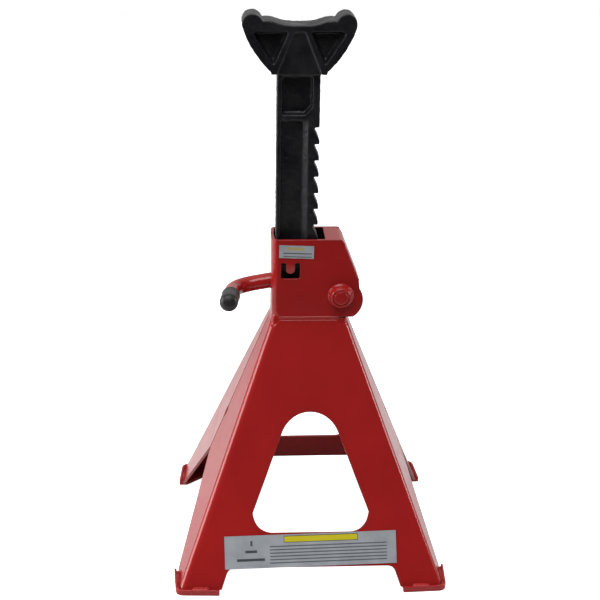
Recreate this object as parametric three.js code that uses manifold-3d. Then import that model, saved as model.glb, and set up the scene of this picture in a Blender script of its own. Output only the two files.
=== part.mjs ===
// Ratchet axle jack stand: two folded sheet-steel halves welded into a four-legged base with a square tower,
// a cast ratchet bar with a saddle that slides up and down in the tower, and a pawl with a bent rod handle
// that holds the bar by its teeth. Millimetres, +Z up, origin on the floor at the centre of the base.
import * as THREE from 'three';
import { mergeVertices } from 'three/addons/utils/BufferGeometryUtils.js';
import Module from 'manifold-3d';

const wasm = await Module();
wasm.setup();

// ---- driving dimensions ------------------------------------------------------------------------------
const GAP = 0.3; // left between pieces that touch
const SHEET = 3; // thickness of the pressed frame
const BEND = 6.5; // outer radius of the vertical bends

const TOWER_TOP = 328;
const TOWER_HALF_W = 36.8; // at the front and back bends
const TOWER_HALF_D = 21.6;
const FOLD_Z = 244; // where the tower turns out into the legs
const FOLD_BLEND = 8; // height either side of the fold that its bend takes
const FOOT_HALF_W = 130.6; // leg planes where they reach the floor
const FOOT_HALF_D = 128;
const SIDE_SLOPE = (FOOT_HALF_W - TOWER_HALF_W) / FOLD_Z;
const PANEL_SLOPE = (FOOT_HALF_D - TOWER_HALF_D) / FOLD_Z;

const FLARE = 0.055; // the flanges widen this much for each mm from the bend to the seam between the halves
const NOTCH_APEX_Z = 96;
const NOTCH_FOOT_Y = 88; // where the side notch meets the feet, front and back

const ARCH_RADIUS = 30;
const ARCH_CENTRE_Z = 131.6;
const ARCH_BOTTOM_Z = 51.6;
const ARCH_SIDE_END_Z = 71.4; // the straight sides stop here, above the rounded lower corners
const ARCH_FLAT_HALF = 39;
const ARCH_SIDE_SLOPE = 0.409;
const STRAP_BOTTOM_Z = 22.5;
const STRAP_GAP_HALF_TOP = 81;
const STRAP_GAP_HALF_BOTTOM = 91;

const FOOT_SHEET = 3;
const LIP_TOP = 6;
const FOOT_REACH_X = 135.2; // widest point of a foot, at the end of its side lip
const FOOT_REACH_Y = 132;
const FOOT_CORNER_X = 132.6;
const FOOT_CORNER_Y = 130;
const FOOT_LIP = 2.3;
const FOOT_LIP_END = 90; // the lips stop this far from the centre
const FOOT_CORNER_RADIUS = 9;

const PIVOT_X = 30.5;
const PIVOT_Z = 270.7;
const PIN_RADIUS = 7;
const PIN_RUNNING = 0.1; // radial clearance of the pawl on its pin
const COLLAR_HEIGHT = 9;
const EAR_X = 31.9;
const EAR_Z = 265.8;
const EAR_RADIUS = 20.6;
const EAR_TOP_X = 30.9; // top corner of the slanted edge
const EAR_SLANT = 0.4; // sideways run of the slanted edge for each mm down

const BAR_X = -13.2;
const BAR_HALF_W = 20.3;
const BAR_FRONT = -17;
const BAR_BACK = 1.2;
const BAR_BOTTOM = 160;
const PITCH = 16;
const TOOTH_DEPTH = 4.8;
const TOOTH_ROOT = 1.2; // upright part of the root, below the ledge
const TOOTH_HEIGHT = 11.8; // from the ledge down to the tip of the next tooth
const LEDGE_Z = 293.4; // underside of the tooth that the pawl holds
const LEDGES_ABOVE = 9;
const LEDGES_BELOW = 3;

const SADDLE_FRONT = -22.5;
const SADDLE_BACK = 8.5;
const SADDLE_BOTTOM = 488.6;
const SADDLE_BOTTOM_HALF = 26;
const HORN_X = 44.5;
const HORN_Z = 536;
const HORN_RADIUS = 8.5;
const CRADLE_Z = 532.7;
const CRADLE_SHOULDER_Z = 537.4;
const CRADLE_HALF = 27;
const CRADLE_FLAT_HALF = 6;

const ROD_RADIUS = 7.1;
const ROD_Y = 10.2;
const ROD_SLOPE = 0.174; // the rod falls this much for each mm it goes left
const ROD_START_X = -1.5;
const ROD_REF = new THREE.Vector2(-44, 275); // a point on the rod's centre line, x and z
const ROD_BEND_X = -74;
const ROD_BEND_RADIUS = 15;
const GRIP_RADIUS = 8.3;
const GRIP_START_Y = -8;
const GRIP_END = new THREE.Vector3(-79.8, -62, 279.8);

// ---- finishes ----------------------------------------------------------------------------------------
const FINISH = {
  red: new THREE.MeshStandardMaterial({ color: 0x9a1a1a, roughness: 0.28, metalness: 0.1 }),
  black: new THREE.MeshStandardMaterial({ color: 0x15151a, roughness: 0.45, metalness: 0.3 }),
  steel: new THREE.MeshStandardMaterial({ color: 0x55555a, roughness: 0.5, metalness: 0.8 }),
  vinyl: new THREE.MeshStandardMaterial({ color: 0x262626, roughness: 0.6, metalness: 0 }),
  label: new THREE.MeshStandardMaterial({ color: 0xa8b0b8, roughness: 0.4, metalness: 0.3 }),
};

// ---- solids ------------------------------------------------------------------------------------------
function solid(geometry) {
  const bare = geometry.clone();
  bare.deleteAttribute('normal');
  bare.deleteAttribute('uv');
  const merged = mergeVertices(bare, 1e-4);
  const vertProperties = Float32Array.from(merged.attributes.position.array);
  const triVerts = Uint32Array.from(merged.index.array);
  return new wasm.Manifold(new wasm.Mesh({ numProp: 3, vertProperties, triVerts }));
}

function toGeometry(manifold) {
  const { vertProperties, triVerts } = manifold.getMesh();
  const geometry = new THREE.BufferGeometry();
  geometry.setAttribute('position', new THREE.BufferAttribute(Float32Array.from(vertProperties), 3));
  geometry.setIndex(new THREE.BufferAttribute(Uint32Array.from(triVerts), 1));
  const flat = geometry.toNonIndexed();
  flat.computeVertexNormals();
  return flat;
}

const X = new THREE.Vector3(1, 0, 0);
const Y = new THREE.Vector3(0, 1, 0);
const Z = new THREE.Vector3(0, 0, 1);

function extrude(shape, length, arcSteps) {
  return new THREE.ExtrudeGeometry(shape, { depth: length, bevelEnabled: false, curveSegments: arcSteps });
}

// shape holds (x, z)
function prismAlongY(shape, from, to, arcSteps = 8) {
  const turned = new THREE.Matrix4().makeBasis(X, Z, Y.clone().negate()).setPosition(0, to, 0);
  return solid(extrude(shape, to - from, arcSteps).applyMatrix4(turned));
}

// shape holds (y, z)
function prismAlongX(shape, from, to, arcSteps = 8) {
  const turned = new THREE.Matrix4().makeBasis(Y, Z, X).setPosition(from, 0, 0);
  return solid(extrude(shape, to - from, arcSteps).applyMatrix4(turned));
}

// shape holds (x, y)
function prismAlongZ(shape, from, to, arcSteps = 8) {
  return solid(extrude(shape, to - from, arcSteps).translate(0, 0, from));
}

function polygon(...points) {
  return new THREE.Shape(points.map(([a, b]) => new THREE.Vector2(a, b)));
}

function rectangle(a0, a1, b0, b1) {
  return polygon([a0, b0], [a1, b0], [a1, b1], [a0, b1]);
}

// a polygon whose corners are rounded with small arcs; each point is [a, b, radius]
function roundedPolygon(...points) {
  const shape = new THREE.Shape();
  points.forEach(([a, b, radius = 0], i) => {
    const corner = new THREE.Vector2(a, b);
    const before = new THREE.Vector2(...points.at(i - 1));
    const after = new THREE.Vector2(...points[(i + 1) % points.length]);
    const back = before.sub(corner).normalize();
    const on = after.sub(corner).normalize();
    const halfAngle = Math.acos(back.dot(on)) / 2;
    const reach = radius / Math.tan(halfAngle);
    const start = corner.clone().addScaledVector(back, reach);
    const end = corner.clone().addScaledVector(on, reach);
    if (i === 0) shape.moveTo(start.x, start.y);
    else shape.lineTo(start.x, start.y);
    if (radius > 0) shape.quadraticCurveTo(corner.x, corner.y, end.x, end.y);
  });
  shape.closePath();
  return shape;
}

function cylinderAlongY(radius, from, to, x, z, sides = 40) {
  const drum = new THREE.CylinderGeometry(radius, radius, to - from, sides);
  return solid(drum.translate(x, (from + to) / 2, z));
}

// ---- the base: a tapered tube with a slight ridge down each side, lofted through its sections ---------------
// A section is given by where its bends would meet if they were sharp: halfW at the front and back faces. Its
// sides flare out from there to the ridge.
function ring(halfW, halfD, radius, z, cornerSteps = 4) {
  const flareAngle = Math.atan(FLARE);
  const tangent = radius * Math.tan((Math.PI / 2 - flareAngle) / 2);
  const centreX = halfW - tangent;
  const centreY = halfD - radius;
  const arc = [];
  for (let i = 0; i <= cornerSteps; i += 1) {
    const angle = flareAngle + (i / cornerSteps) * (Math.PI / 2 - flareAngle);
    arc.push([centreX + radius * Math.cos(angle), centreY + radius * Math.sin(angle)]);
  }
  const ridge = halfW + FLARE * halfD;
  const turnedBack = [...arc].reverse();
  const points = [
    ...arc,
    ...turnedBack.map(([x, y]) => [-x, y]),
    [-ridge, 0],
    ...arc.map(([x, y]) => [-x, -y]),
    ...turnedBack.map(([x, y]) => [x, -y]),
    [ridge, 0],
  ];
  return points.map(([x, y]) => [x, y, z]);
}

function loft(rings) {
  const count = rings[0].length;
  const index = [];
  for (let level = 0; level + 1 < rings.length; level += 1) {
    for (let i = 0; i < count; i += 1) {
      const a = level * count + i;
      const b = level * count + ((i + 1) % count);
      index.push(a, b, b + count, a, b + count, a + count);
    }
  }
  const top = (rings.length - 1) * count;
  for (let i = 1; i + 1 < count; i += 1) {
    index.push(0, i + 1, i, top, top + i, top + i + 1);
  }
  const geometry = new THREE.BufferGeometry();
  geometry.setAttribute('position', new THREE.Float32BufferAttribute(rings.flat(2), 3));
  geometry.setIndex(index);
  return solid(geometry);
}

// how far below the fold a level counts, with the bend rounded
function drop(z) {
  const below = FOLD_Z - z;
  if (below <= -FOLD_BLEND) return 0;
  if (below >= FOLD_BLEND) return below;
  return (below + FOLD_BLEND) ** 2 / (4 * FOLD_BLEND);
}

function steepness(z) {
  return Math.min(1, Math.max(0, (FOLD_Z - z + FOLD_BLEND) / (2 * FOLD_BLEND)));
}

function outerHalfW(z) {
  return TOWER_HALF_W + SIDE_SLOPE * drop(z);
}

function outerHalfD(z) {
  return TOWER_HALF_D + PANEL_SLOPE * drop(z);
}

function tube(inset, bottom, top) {
  const levels = [bottom];
  const foldSteps = 6;
  for (let i = 0; i <= foldSteps; i += 1) {
    levels.push(FOLD_Z - FOLD_BLEND + (2 * FOLD_BLEND * i) / foldSteps);
  }
  levels.push(top);
  return loft(levels.map((z) => {
    const sideInset = inset * Math.hypot(1, SIDE_SLOPE * steepness(z)) * Math.hypot(1, FLARE);
    const faceInset = inset * Math.hypot(1, PANEL_SLOPE * steepness(z));
    const halfW = outerHalfW(z) - sideInset + FLARE * faceInset;
    return ring(halfW, outerHalfD(z) - faceInset, BEND - inset, z);
  }));
}

function archShape() {
  const tilt = Math.atan(ARCH_SIDE_SLOPE);
  const tangentX = ARCH_RADIUS * Math.cos(tilt);
  const tangentZ = ARCH_CENTRE_Z + ARCH_RADIUS * Math.sin(tilt);
  const sideX = tangentX + ARCH_SIDE_SLOPE * (tangentZ - ARCH_SIDE_END_Z);
  const bulgeX = sideX - 2.4;
  const bulgeZ = ARCH_BOTTOM_Z + 1.5;
  const shape = new THREE.Shape();
  shape.moveTo(tangentX, tangentZ);
  shape.absarc(0, ARCH_CENTRE_Z, ARCH_RADIUS, tilt, Math.PI - tilt, false);
  shape.lineTo(-sideX, ARCH_SIDE_END_Z);
  shape.quadraticCurveTo(-bulgeX, bulgeZ, -ARCH_FLAT_HALF, ARCH_BOTTOM_Z);
  shape.lineTo(ARCH_FLAT_HALF, ARCH_BOTTOM_Z);
  shape.quadraticCurveTo(bulgeX, bulgeZ, sideX, ARCH_SIDE_END_Z);
  shape.closePath();
  return shape;
}

function strapGapShape() {
  const low = -5;
  return roundedPolygon(
    [-STRAP_GAP_HALF_BOTTOM, low],
    [STRAP_GAP_HALF_BOTTOM, low],
    [STRAP_GAP_HALF_TOP, STRAP_BOTTOM_Z, 9],
    [-STRAP_GAP_HALF_TOP, STRAP_BOTTOM_Z, 9],
  );
}

function sideNotchShape() {
  const low = -5;
  const footY = NOTCH_FOOT_Y + 8;
  return roundedPolygon([-footY, low], [footY, low], [0, NOTCH_APEX_Z, 2]);
}

// front or back plate of the tower where it widens into the ear that carries the pivot
function earShape() {
  const slantX = (z) => EAR_TOP_X + EAR_SLANT * (TOWER_TOP - z);
  const meetZ = 280;
  const startAngle = Math.asin((meetZ - EAR_Z) / EAR_RADIUS);
  const endAngle = THREE.MathUtils.degToRad(-68);
  const cornerRadius = 3.5;
  const left = TOWER_HALF_W - 20;
  const shape = new THREE.Shape();
  shape.moveTo(left, FOLD_Z + 2.5);
  shape.lineTo(left, TOWER_TOP);
  shape.lineTo(EAR_TOP_X - cornerRadius, TOWER_TOP);
  shape.quadraticCurveTo(EAR_TOP_X, TOWER_TOP, slantX(TOWER_TOP - cornerRadius), TOWER_TOP - cornerRadius);
  shape.lineTo(slantX(meetZ), meetZ);
  shape.absarc(EAR_X, EAR_Z, EAR_RADIUS, startAngle, endAngle, true);
  shape.lineTo(TOWER_HALF_W - 1, FOLD_Z + 2.5);
  shape.closePath();
  return shape;
}

function wholeFrame() {
  const legBottom = FOOT_SHEET + GAP;
  let frame = tube(0, legBottom, TOWER_TOP).subtract(tube(SHEET, -20, TOWER_TOP + 20));
  const innerD = TOWER_HALF_D - SHEET;
  const rightSide = prismAlongY(rectangle(TOWER_HALF_W - 12, 60, FOLD_Z + 6, TOWER_TOP + 5), -60, 60);
  frame = frame.subtract(rightSide);
  for (const side of [-1, 1]) {
    const [from, to] = [side * TOWER_HALF_D, side * innerD].sort((a, b) => a - b);
    frame = frame.add(prismAlongY(earShape(), from, to, 16));
  }
  const through = FOOT_HALF_D + 20;
  frame = frame.subtract(prismAlongY(archShape(), -through, through, 14));
  frame = frame.subtract(prismAlongY(strapGapShape(), -through, through, 5));
  frame = frame.subtract(prismAlongX(sideNotchShape(), -through, through, 4));
  return frame.subtract(cylinderAlongY(PIN_RADIUS + 0.3, -60, 60, PIVOT_X, PIVOT_Z));
}

// everything in front of the seam, or behind it
function seamSide(sign) {
  const [from, to] = [(sign * GAP) / 2, sign * 300].sort((a, b) => a - b);
  return prismAlongX(rectangle(from, to, -30, TOWER_TOP + 30), -200, 200);
}

// the sheared tongue that runs in the bar's front channel and stops it at the top of its travel
const TONGUE_X = -19;
const TONGUE_HALF_W = 4.5;
const TONGUE_ROOT_Z = 304.2;
const TONGUE_TIP_Z = 293.2;
const TONGUE_PUSH = 4.4;
const SLIT_HALF_W = 9.1;
const SLIT_BOTTOM_Z = 287.9;

function tongueWindow() {
  return roundedPolygon(
    [TONGUE_X - SLIT_HALF_W, SLIT_BOTTOM_Z, 1.5],
    [TONGUE_X + SLIT_HALF_W, SLIT_BOTTOM_Z, 1.5],
    [TONGUE_X + SLIT_HALF_W, TONGUE_ROOT_Z, 2],
    [TONGUE_X - SLIT_HALF_W, TONGUE_ROOT_Z, 2],
  );
}

function tongue() {
  const outer = -TOWER_HALF_D;
  const inner = outer + SHEET;
  const root = TONGUE_ROOT_Z + 2;
  const bendZ = TONGUE_ROOT_Z - 1;
  const bent = prismAlongX(
    polygon(
      [outer, root],
      [outer, bendZ],
      [outer + TONGUE_PUSH, TONGUE_TIP_Z],
      [inner + TONGUE_PUSH, TONGUE_TIP_Z],
      [inner, bendZ],
      [inner, root],
    ),
    TONGUE_X - TONGUE_HALF_W,
    TONGUE_X + TONGUE_HALF_W,
  );
  const face = new THREE.Shape();
  face.moveTo(TONGUE_X - TONGUE_HALF_W, root + 5);
  face.lineTo(TONGUE_X - TONGUE_HALF_W, TONGUE_TIP_Z + TONGUE_HALF_W);
  face.absarc(TONGUE_X, TONGUE_TIP_Z + TONGUE_HALF_W, TONGUE_HALF_W, Math.PI, 2 * Math.PI, false);
  face.lineTo(TONGUE_X + TONGUE_HALF_W, root + 5);
  face.closePath();
  return bent.intersect(prismAlongY(face, -40, 0, 10));
}

function frontHalf(frame) {
  const window = prismAlongY(tongueWindow(), -TOWER_HALF_D - 5, -TOWER_HALF_D + 8, 4);
  return frame.intersect(seamSide(-1)).subtract(window).add(tongue());
}

// the opening in the left wall that the handle rod swings in
const ROD_SLOT_BOTTOM = 267.8;
const ROD_SLOT_TOP = 314;

function backHalf(frame) {
  const innerD = TOWER_HALF_D - SHEET;
  const slot = prismAlongX(rectangle(-2, innerD + 0.2, ROD_SLOT_BOTTOM, ROD_SLOT_TOP), -60, -20);
  return frame.intersect(seamSide(1)).subtract(slot);
}

// ---- pieces fixed to the base --------------------------------------------------------------------------
// foot in the front left corner; sx and sy mirror it to the others
function footShape(sx, sy, grow) {
  const sideEnd = [sx * (FOOT_REACH_X + grow), sy * FOOT_LIP_END];
  const corner = [sx * (FOOT_CORNER_X + grow), sy * (FOOT_CORNER_Y + grow)];
  const frontEnd = [sx * FOOT_LIP_END, sy * (FOOT_REACH_Y + grow)];
  const inward = 9;
  return roundedPolygon(
    [...sideEnd],
    [...corner, FOOT_CORNER_RADIUS + grow],
    [...frontEnd],
    [frontEnd[0], frontEnd[1] - sy * inward],
    [sideEnd[0] - sx * inward, sideEnd[1]],
  );
}

function foot(sx, sy) {
  const body = prismAlongZ(footShape(sx, sy, 0), 0, LIP_TOP);
  const inside = prismAlongZ(footShape(sx, sy, -FOOT_LIP), FOOT_SHEET, LIP_TOP + 1);
  const diagonal = FOOT_CORNER_X + FOOT_LIP_END - 4;
  const openSide = prismAlongZ(polygon([0, 0], [sx * diagonal, 0], [0, sy * diagonal]), FOOT_SHEET, LIP_TOP + 1);
  return body.subtract(inside).subtract(openSide);
}

// a weld bead lying in the corner between the leg and the foot's lip
function footWeld(sx, sy, alongX) {
  const half = 8;
  const low = LIP_TOP + GAP;
  const high = LIP_TOP + 3.2;
  const middle = alongX ? sx * 108 : sy * 106;
  const widest = (z) => outerHalfW(z) + FLARE * (outerHalfD(z) - Math.abs(middle) + half);
  const leg = alongX ? outerHalfD : widest;
  const lip = alongX ? FOOT_REACH_Y : FOOT_REACH_X;
  const side = alongX ? sy : sx;
  const section = polygon(
    [side * (leg(low) + GAP), low],
    [side * (lip - 1), low],
    [side * (leg(high) + GAP), high],
  );
  const bar = alongX ? prismAlongX : prismAlongY;
  return bar(section, middle - half, middle + half);
}

function pawlCover() {
  const reach = TOWER_HALF_D - SHEET - GAP;
  const proud = 0.8;
  const thick = 3;
  const bendRadius = 8;
  const slantX = (z) => EAR_TOP_X + EAR_SLANT * (TOWER_TOP - z);
  const bottomZ = 284;
  const outline = (inset, r) => [
    [slantX(TOWER_TOP - inset) - inset * 1.08 + proud, TOWER_TOP - inset, r],
    [slantX(bottomZ) - inset * 1.08 + proud, bottomZ],
  ];
  const [outerCorner, outerEnd] = outline(0, bendRadius);
  const [innerCorner, innerEnd] = outline(thick, bendRadius - thick);
  const start = 10;
  return prismAlongY(
    roundedPolygon(
      [start, TOWER_TOP],
      outerCorner,
      outerEnd,
      innerEnd,
      innerCorner,
      [start, TOWER_TOP - thick],
    ),
    -reach,
    reach,
    6,
  );
}

const LOWER_GUIDE_Z = 247;
const UPPER_GUIDE_Z = 316.5;

function barGuideLower() {
  const innerW = TOWER_HALF_W - SHEET - GAP;
  const innerD = TOWER_HALF_D - SHEET - GAP;
  const clear = 0.6;
  const right = BAR_X + BAR_HALF_W + clear;
  return prismAlongZ(
    polygon(
      [-innerW + 4, innerD],
      [-innerW + 4, BAR_BACK + clear],
      [right, BAR_BACK + clear],
      [right, -innerD],
      [innerW - 3, -innerD],
      [innerW - 3, innerD],
    ),
    LOWER_GUIDE_Z,
    LOWER_GUIDE_Z + 5,
  );
}

function barGuideUpper() {
  const left = BAR_X - BAR_HALF_W + 2;
  return prismAlongZ(
    rectangle(left, BAR_X + BAR_HALF_W, BAR_BACK + 0.6, TOWER_HALF_D - SHEET - GAP),
    UPPER_GUIDE_Z,
    UPPER_GUIDE_Z + 8.5,
  );
}

// a bead along the inside of the seam, three-sided like the corner it fills
function seamWeld(side) {
  const halfWidth = 3;
  const section = (z) => {
    const ridge = outerHalfW(z) + FLARE * outerHalfD(z) - SHEET * Math.hypot(1, SIDE_SLOPE) - 2 * GAP;
    const flank = ridge - FLARE * halfWidth;
    const corners = [[flank, -halfWidth], [ridge, 0], [flank, halfWidth], [ridge - 2, 0]];
    if (side < 0) corners.reverse();
    return corners.map(([x, y]) => [side * x, y, z]);
  };
  return loft([section(NOTCH_APEX_Z + 12), section(FOLD_Z - 14)]);
}

function pivotCollar(side) {
  const wall = TOWER_HALF_D + GAP;
  const inner = PIN_RADIUS + 0.4;
  const stepped = [[12.9, 0], [12.9, 2.2], [11.3, 3.4], [10.6, 6], [9.4, COLLAR_HEIGHT]];
  const closed = [[inner, 0], ...stepped, [inner, COLLAR_HEIGHT], [inner, 0]];
  const profile = closed.map(([r, h]) => new THREE.Vector2(r, h));
  const lathe = new THREE.LatheGeometry(profile, 40);
  if (side < 0) lathe.rotateX(Math.PI);
  return solid(lathe.translate(PIVOT_X, side * wall, PIVOT_Z));
}

function pivotSpacer(side) {
  const from = PAWL_HALF_D + GAP;
  const to = TOWER_HALF_D - SHEET - GAP;
  const [low, high] = side < 0 ? [-to, -from] : [from, to];
  const disc = cylinderAlongY(11.5, low, high, PIVOT_X, PIVOT_Z, 32);
  return disc.subtract(cylinderAlongY(PIN_RADIUS + 0.3, low - 1, high + 1, PIVOT_X, PIVOT_Z));
}

function pivotPin() {
  const half = TOWER_HALF_D + COLLAR_HEIGHT + 1;
  const chamfer = 0.8;
  const profile = [
    [0, -half], [PIN_RADIUS - chamfer, -half], [PIN_RADIUS, -half + chamfer],
    [PIN_RADIUS, half - chamfer], [PIN_RADIUS - chamfer, half], [0, half],
  ].map(([r, h]) => new THREE.Vector2(r, h));
  return solid(new THREE.LatheGeometry(profile, 40).translate(PIVOT_X, 0, PIVOT_Z));
}

// a thin plate lying on the front strap, turned a little in its plane as if stuck on by hand
function capacityLabel() {
  const middleZ = (STRAP_BOTTOM_Z + ARCH_BOTTOM_Z) / 2;
  const halfLength = 84.3;
  const halfHeight = 14.6;
  const turn = THREE.MathUtils.degToRad(1);
  const lean = Math.atan(PANEL_SLOPE);
  const plate = new THREE.BoxGeometry(2 * halfLength, 0.5, 2 * halfHeight);
  plate.rotateY(-turn);
  plate.rotateX(-lean);
  const away = (GAP + 0.25) / Math.cos(lean);
  return solid(plate.translate(-0.5, -(outerHalfD(middleZ) + away), middleZ));
}

function towerLabel() {
  const y = -TOWER_HALF_D - GAP;
  return prismAlongY(polygon([-30.4, 310], [3.4, 308.8], [3.6, 321.8], [-30.2, 323]), y - 0.5, y);
}

// ---- ratchet bar -----------------------------------------------------------------------------------------
const CHANNEL_TOP = 444.5;
const UPPER_POCKET_Z = 449.5;
const CHANNEL_BOTTOM = TONGUE_TIP_Z - LEDGES_BELOW * PITCH - 0.6;

function rackOutline() {
  const left = BAR_X - BAR_HALF_W;
  const tip = BAR_X + BAR_HALF_W;
  const root = tip - TOOTH_DEPTH;
  const shape = new THREE.Shape();
  shape.moveTo(left + 3, BAR_BOTTOM);
  shape.lineTo(tip - 3, BAR_BOTTOM);
  shape.lineTo(tip, BAR_BOTTOM + 5);
  for (let k = -LEDGES_BELOW; k <= LEDGES_ABOVE; k += 1) {
    const ledge = LEDGE_Z + k * PITCH;
    shape.lineTo(tip, ledge - TOOTH_HEIGHT);
    shape.lineTo(root, ledge - TOOTH_ROOT);
    shape.lineTo(root, ledge);
    shape.lineTo(tip, ledge);
  }
  shape.lineTo(tip, SADDLE_BOTTOM + 5);
  shape.lineTo(left, SADDLE_BOTTOM + 5);
  shape.lineTo(left, BAR_BOTTOM + 5);
  shape.closePath();
  return shape;
}

function saddleOutline() {
  const shape = new THREE.Shape();
  const hornTurn = THREE.MathUtils.degToRad(32);
  const flank = (sign) => [
    [BAR_X + sign * 44.6, 511],
    [BAR_X + sign * SADDLE_BOTTOM_HALF, SADDLE_BOTTOM + 2],
  ];
  shape.moveTo(BAR_X - SADDLE_BOTTOM_HALF, SADDLE_BOTTOM);
  shape.lineTo(BAR_X + SADDLE_BOTTOM_HALF, SADDLE_BOTTOM);
  const [[bulgeX, bulgeZ]] = flank(1);
  shape.lineTo(BAR_X + SADDLE_BOTTOM_HALF, SADDLE_BOTTOM + 2);
  const hornSide = BAR_X + HORN_X + HORN_RADIUS * Math.cos(-0.25);
  const hornLow = HORN_Z + HORN_RADIUS * Math.sin(-0.25);
  shape.quadraticCurveTo(bulgeX + 1.5, bulgeZ - 1, hornSide, hornLow);
  shape.absarc(BAR_X + HORN_X, HORN_Z, HORN_RADIUS, -0.25, Math.PI - hornTurn, false);
  shape.quadraticCurveTo(BAR_X + 34.5, CRADLE_SHOULDER_Z, BAR_X + CRADLE_HALF + 3, CRADLE_SHOULDER_Z);
  shape.lineTo(BAR_X + CRADLE_HALF, CRADLE_SHOULDER_Z);
  shape.quadraticCurveTo(BAR_X + 16, CRADLE_Z, BAR_X + CRADLE_FLAT_HALF, CRADLE_Z);
  shape.lineTo(BAR_X - CRADLE_FLAT_HALF, CRADLE_Z);
  shape.quadraticCurveTo(BAR_X - 16, CRADLE_Z, BAR_X - CRADLE_HALF, CRADLE_SHOULDER_Z);
  shape.lineTo(BAR_X - CRADLE_HALF - 3, CRADLE_SHOULDER_Z);
  const innerX = BAR_X - HORN_X + HORN_RADIUS * Math.cos(hornTurn);
  const innerZ = HORN_Z + HORN_RADIUS * Math.sin(hornTurn);
  shape.quadraticCurveTo(BAR_X - 34.5, CRADLE_SHOULDER_Z, innerX, innerZ);
  shape.absarc(BAR_X - HORN_X, HORN_Z, HORN_RADIUS, hornTurn, Math.PI + 0.25, false);
  shape.quadraticCurveTo(BAR_X - 46.1, bulgeZ - 1, BAR_X - SADDLE_BOTTOM_HALF, SADDLE_BOTTOM + 2);
  shape.closePath();
  return shape;
}

// pockets cast into both faces of the saddle: two deep triangles beside a shallow middle panel
function saddlePockets() {
  const cuts = [];
  const sidePocket = (sign) => roundedPolygon(
    [BAR_X + sign * 10, 528.5, 2],
    [BAR_X + sign * 40, 528.5, 4],
    [BAR_X + sign * 22.8, 498, 2],
  );
  const middle = roundedPolygon(
    [BAR_X - 5, 528, 1.5],
    [BAR_X + 5, 528, 1.5],
    [BAR_X + 18.6, 496, 2],
    [BAR_X - 18.6, 496, 2],
  );
  for (const [face, into] of [[SADDLE_FRONT, 1], [SADDLE_BACK, -1]]) {
    for (const [shape, depth] of [[sidePocket(1), 8], [sidePocket(-1), 8], [middle, 3]]) {
      const [from, to] = [face - into, face + into * depth].sort((a, b) => a - b);
      cuts.push(prismAlongY(shape, from, to, 4));
    }
  }
  return cuts;
}

function ratchetBar() {
  let bar = prismAlongY(rackOutline(), BAR_FRONT, BAR_BACK);
  bar = bar.add(prismAlongY(saddleOutline(), SADDLE_FRONT, SADDLE_BACK, 10));
  for (const pocket of saddlePockets()) bar = bar.subtract(pocket);
  const channel = polygon(
    [BAR_X - 16.2, BAR_FRONT - 1],
    [BAR_X - 15, BAR_FRONT + 4.6],
    [BAR_X + 4.4, BAR_FRONT + 4.6],
    [BAR_X + 11, BAR_FRONT - 1],
  );
  bar = bar.subtract(prismAlongZ(channel, CHANNEL_BOTTOM, CHANNEL_TOP));
  const upperPocket = roundedPolygon(
    [BAR_X - 16, UPPER_POCKET_Z, 4],
    [BAR_X + 12.6, UPPER_POCKET_Z, 6],
    [BAR_X + 12.6, SADDLE_BOTTOM - 3, 4],
    [BAR_X - 16, SADDLE_BOTTOM - 3, 4],
  );
  bar = bar.subtract(prismAlongY(upperPocket, BAR_FRONT - 1, BAR_FRONT + 8, 5));
  const backRecess = roundedPolygon(
    [BAR_X - 14, 190, 4],
    [BAR_X + 9, 190, 4],
    [BAR_X + 9, SADDLE_BOTTOM - 5, 4],
    [BAR_X - 14, SADDLE_BOTTOM - 5, 4],
  );
  return bar.subtract(prismAlongY(backRecess, BAR_BACK - 3, BAR_BACK + 1, 4));
}

// ---- pawl and handle ---------------------------------------------------------------------------------------
const PAWL_HALF_D = 15.6;
const HUB_RADIUS = 15;
const NOSE_CLEARANCE = 0.35;
const NOSE_BITE = 3; // how far the nose reaches in under the tooth

function rodZ(x) {
  return ROD_REF.y + (x - ROD_REF.x) * ROD_SLOPE;
}

// The top of the nose is an arc about the pivot that passes just under the tooth's tip, so that the pawl can
// swing out from under a bar that hasn't moved.
function noseShape() {
  const tipX = BAR_X + BAR_HALF_W;
  const reach = Math.hypot(tipX - PIVOT_X, LEDGE_Z - PIVOT_Z) - NOSE_CLEARANCE;
  const noseX = tipX - NOSE_BITE;
  const noseAngle = Math.acos((noseX - PIVOT_X) / reach);
  const noseZ = PIVOT_Z + reach * Math.sin(noseAngle);
  const backAngle = THREE.MathUtils.degToRad(112);
  const slantX = TOOTH_DEPTH / (TOOTH_HEIGHT - TOOTH_ROOT);
  const besideX = tipX + 0.8;
  const shape = new THREE.Shape();
  shape.moveTo(noseX, noseZ);
  shape.lineTo(besideX, noseZ - (besideX - noseX) / slantX);
  shape.lineTo(besideX + 1.5, noseZ - 11);
  shape.lineTo(PIVOT_X - HUB_RADIUS + 1, PIVOT_Z - 5);
  shape.lineTo(PIVOT_X, PIVOT_Z);
  shape.lineTo(PIVOT_X + reach * Math.cos(backAngle), PIVOT_Z + reach * Math.sin(backAngle));
  shape.absarc(PIVOT_X, PIVOT_Z, reach, backAngle, noseAngle, false);
  shape.closePath();
  return shape;
}

// the arm behind the bar that the handle rod is welded to, cut square to the rod
function armShape() {
  const half = ROD_RADIUS - 0.4;
  const along = new THREE.Vector2(1, ROD_SLOPE).normalize();
  const across = new THREE.Vector2(-along.y, along.x);
  const end = new THREE.Vector2(ROD_START_X, rodZ(ROD_START_X)).addScaledVector(along, GAP);
  const low = end.clone().addScaledVector(across, -half);
  const high = end.clone().addScaledVector(across, half);
  const right = PIVOT_X - 2;
  return polygon([low.x, low.y], [right, rodZ(right) - half - 4], [right, rodZ(right) + half], [high.x, high.y]);
}

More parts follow.
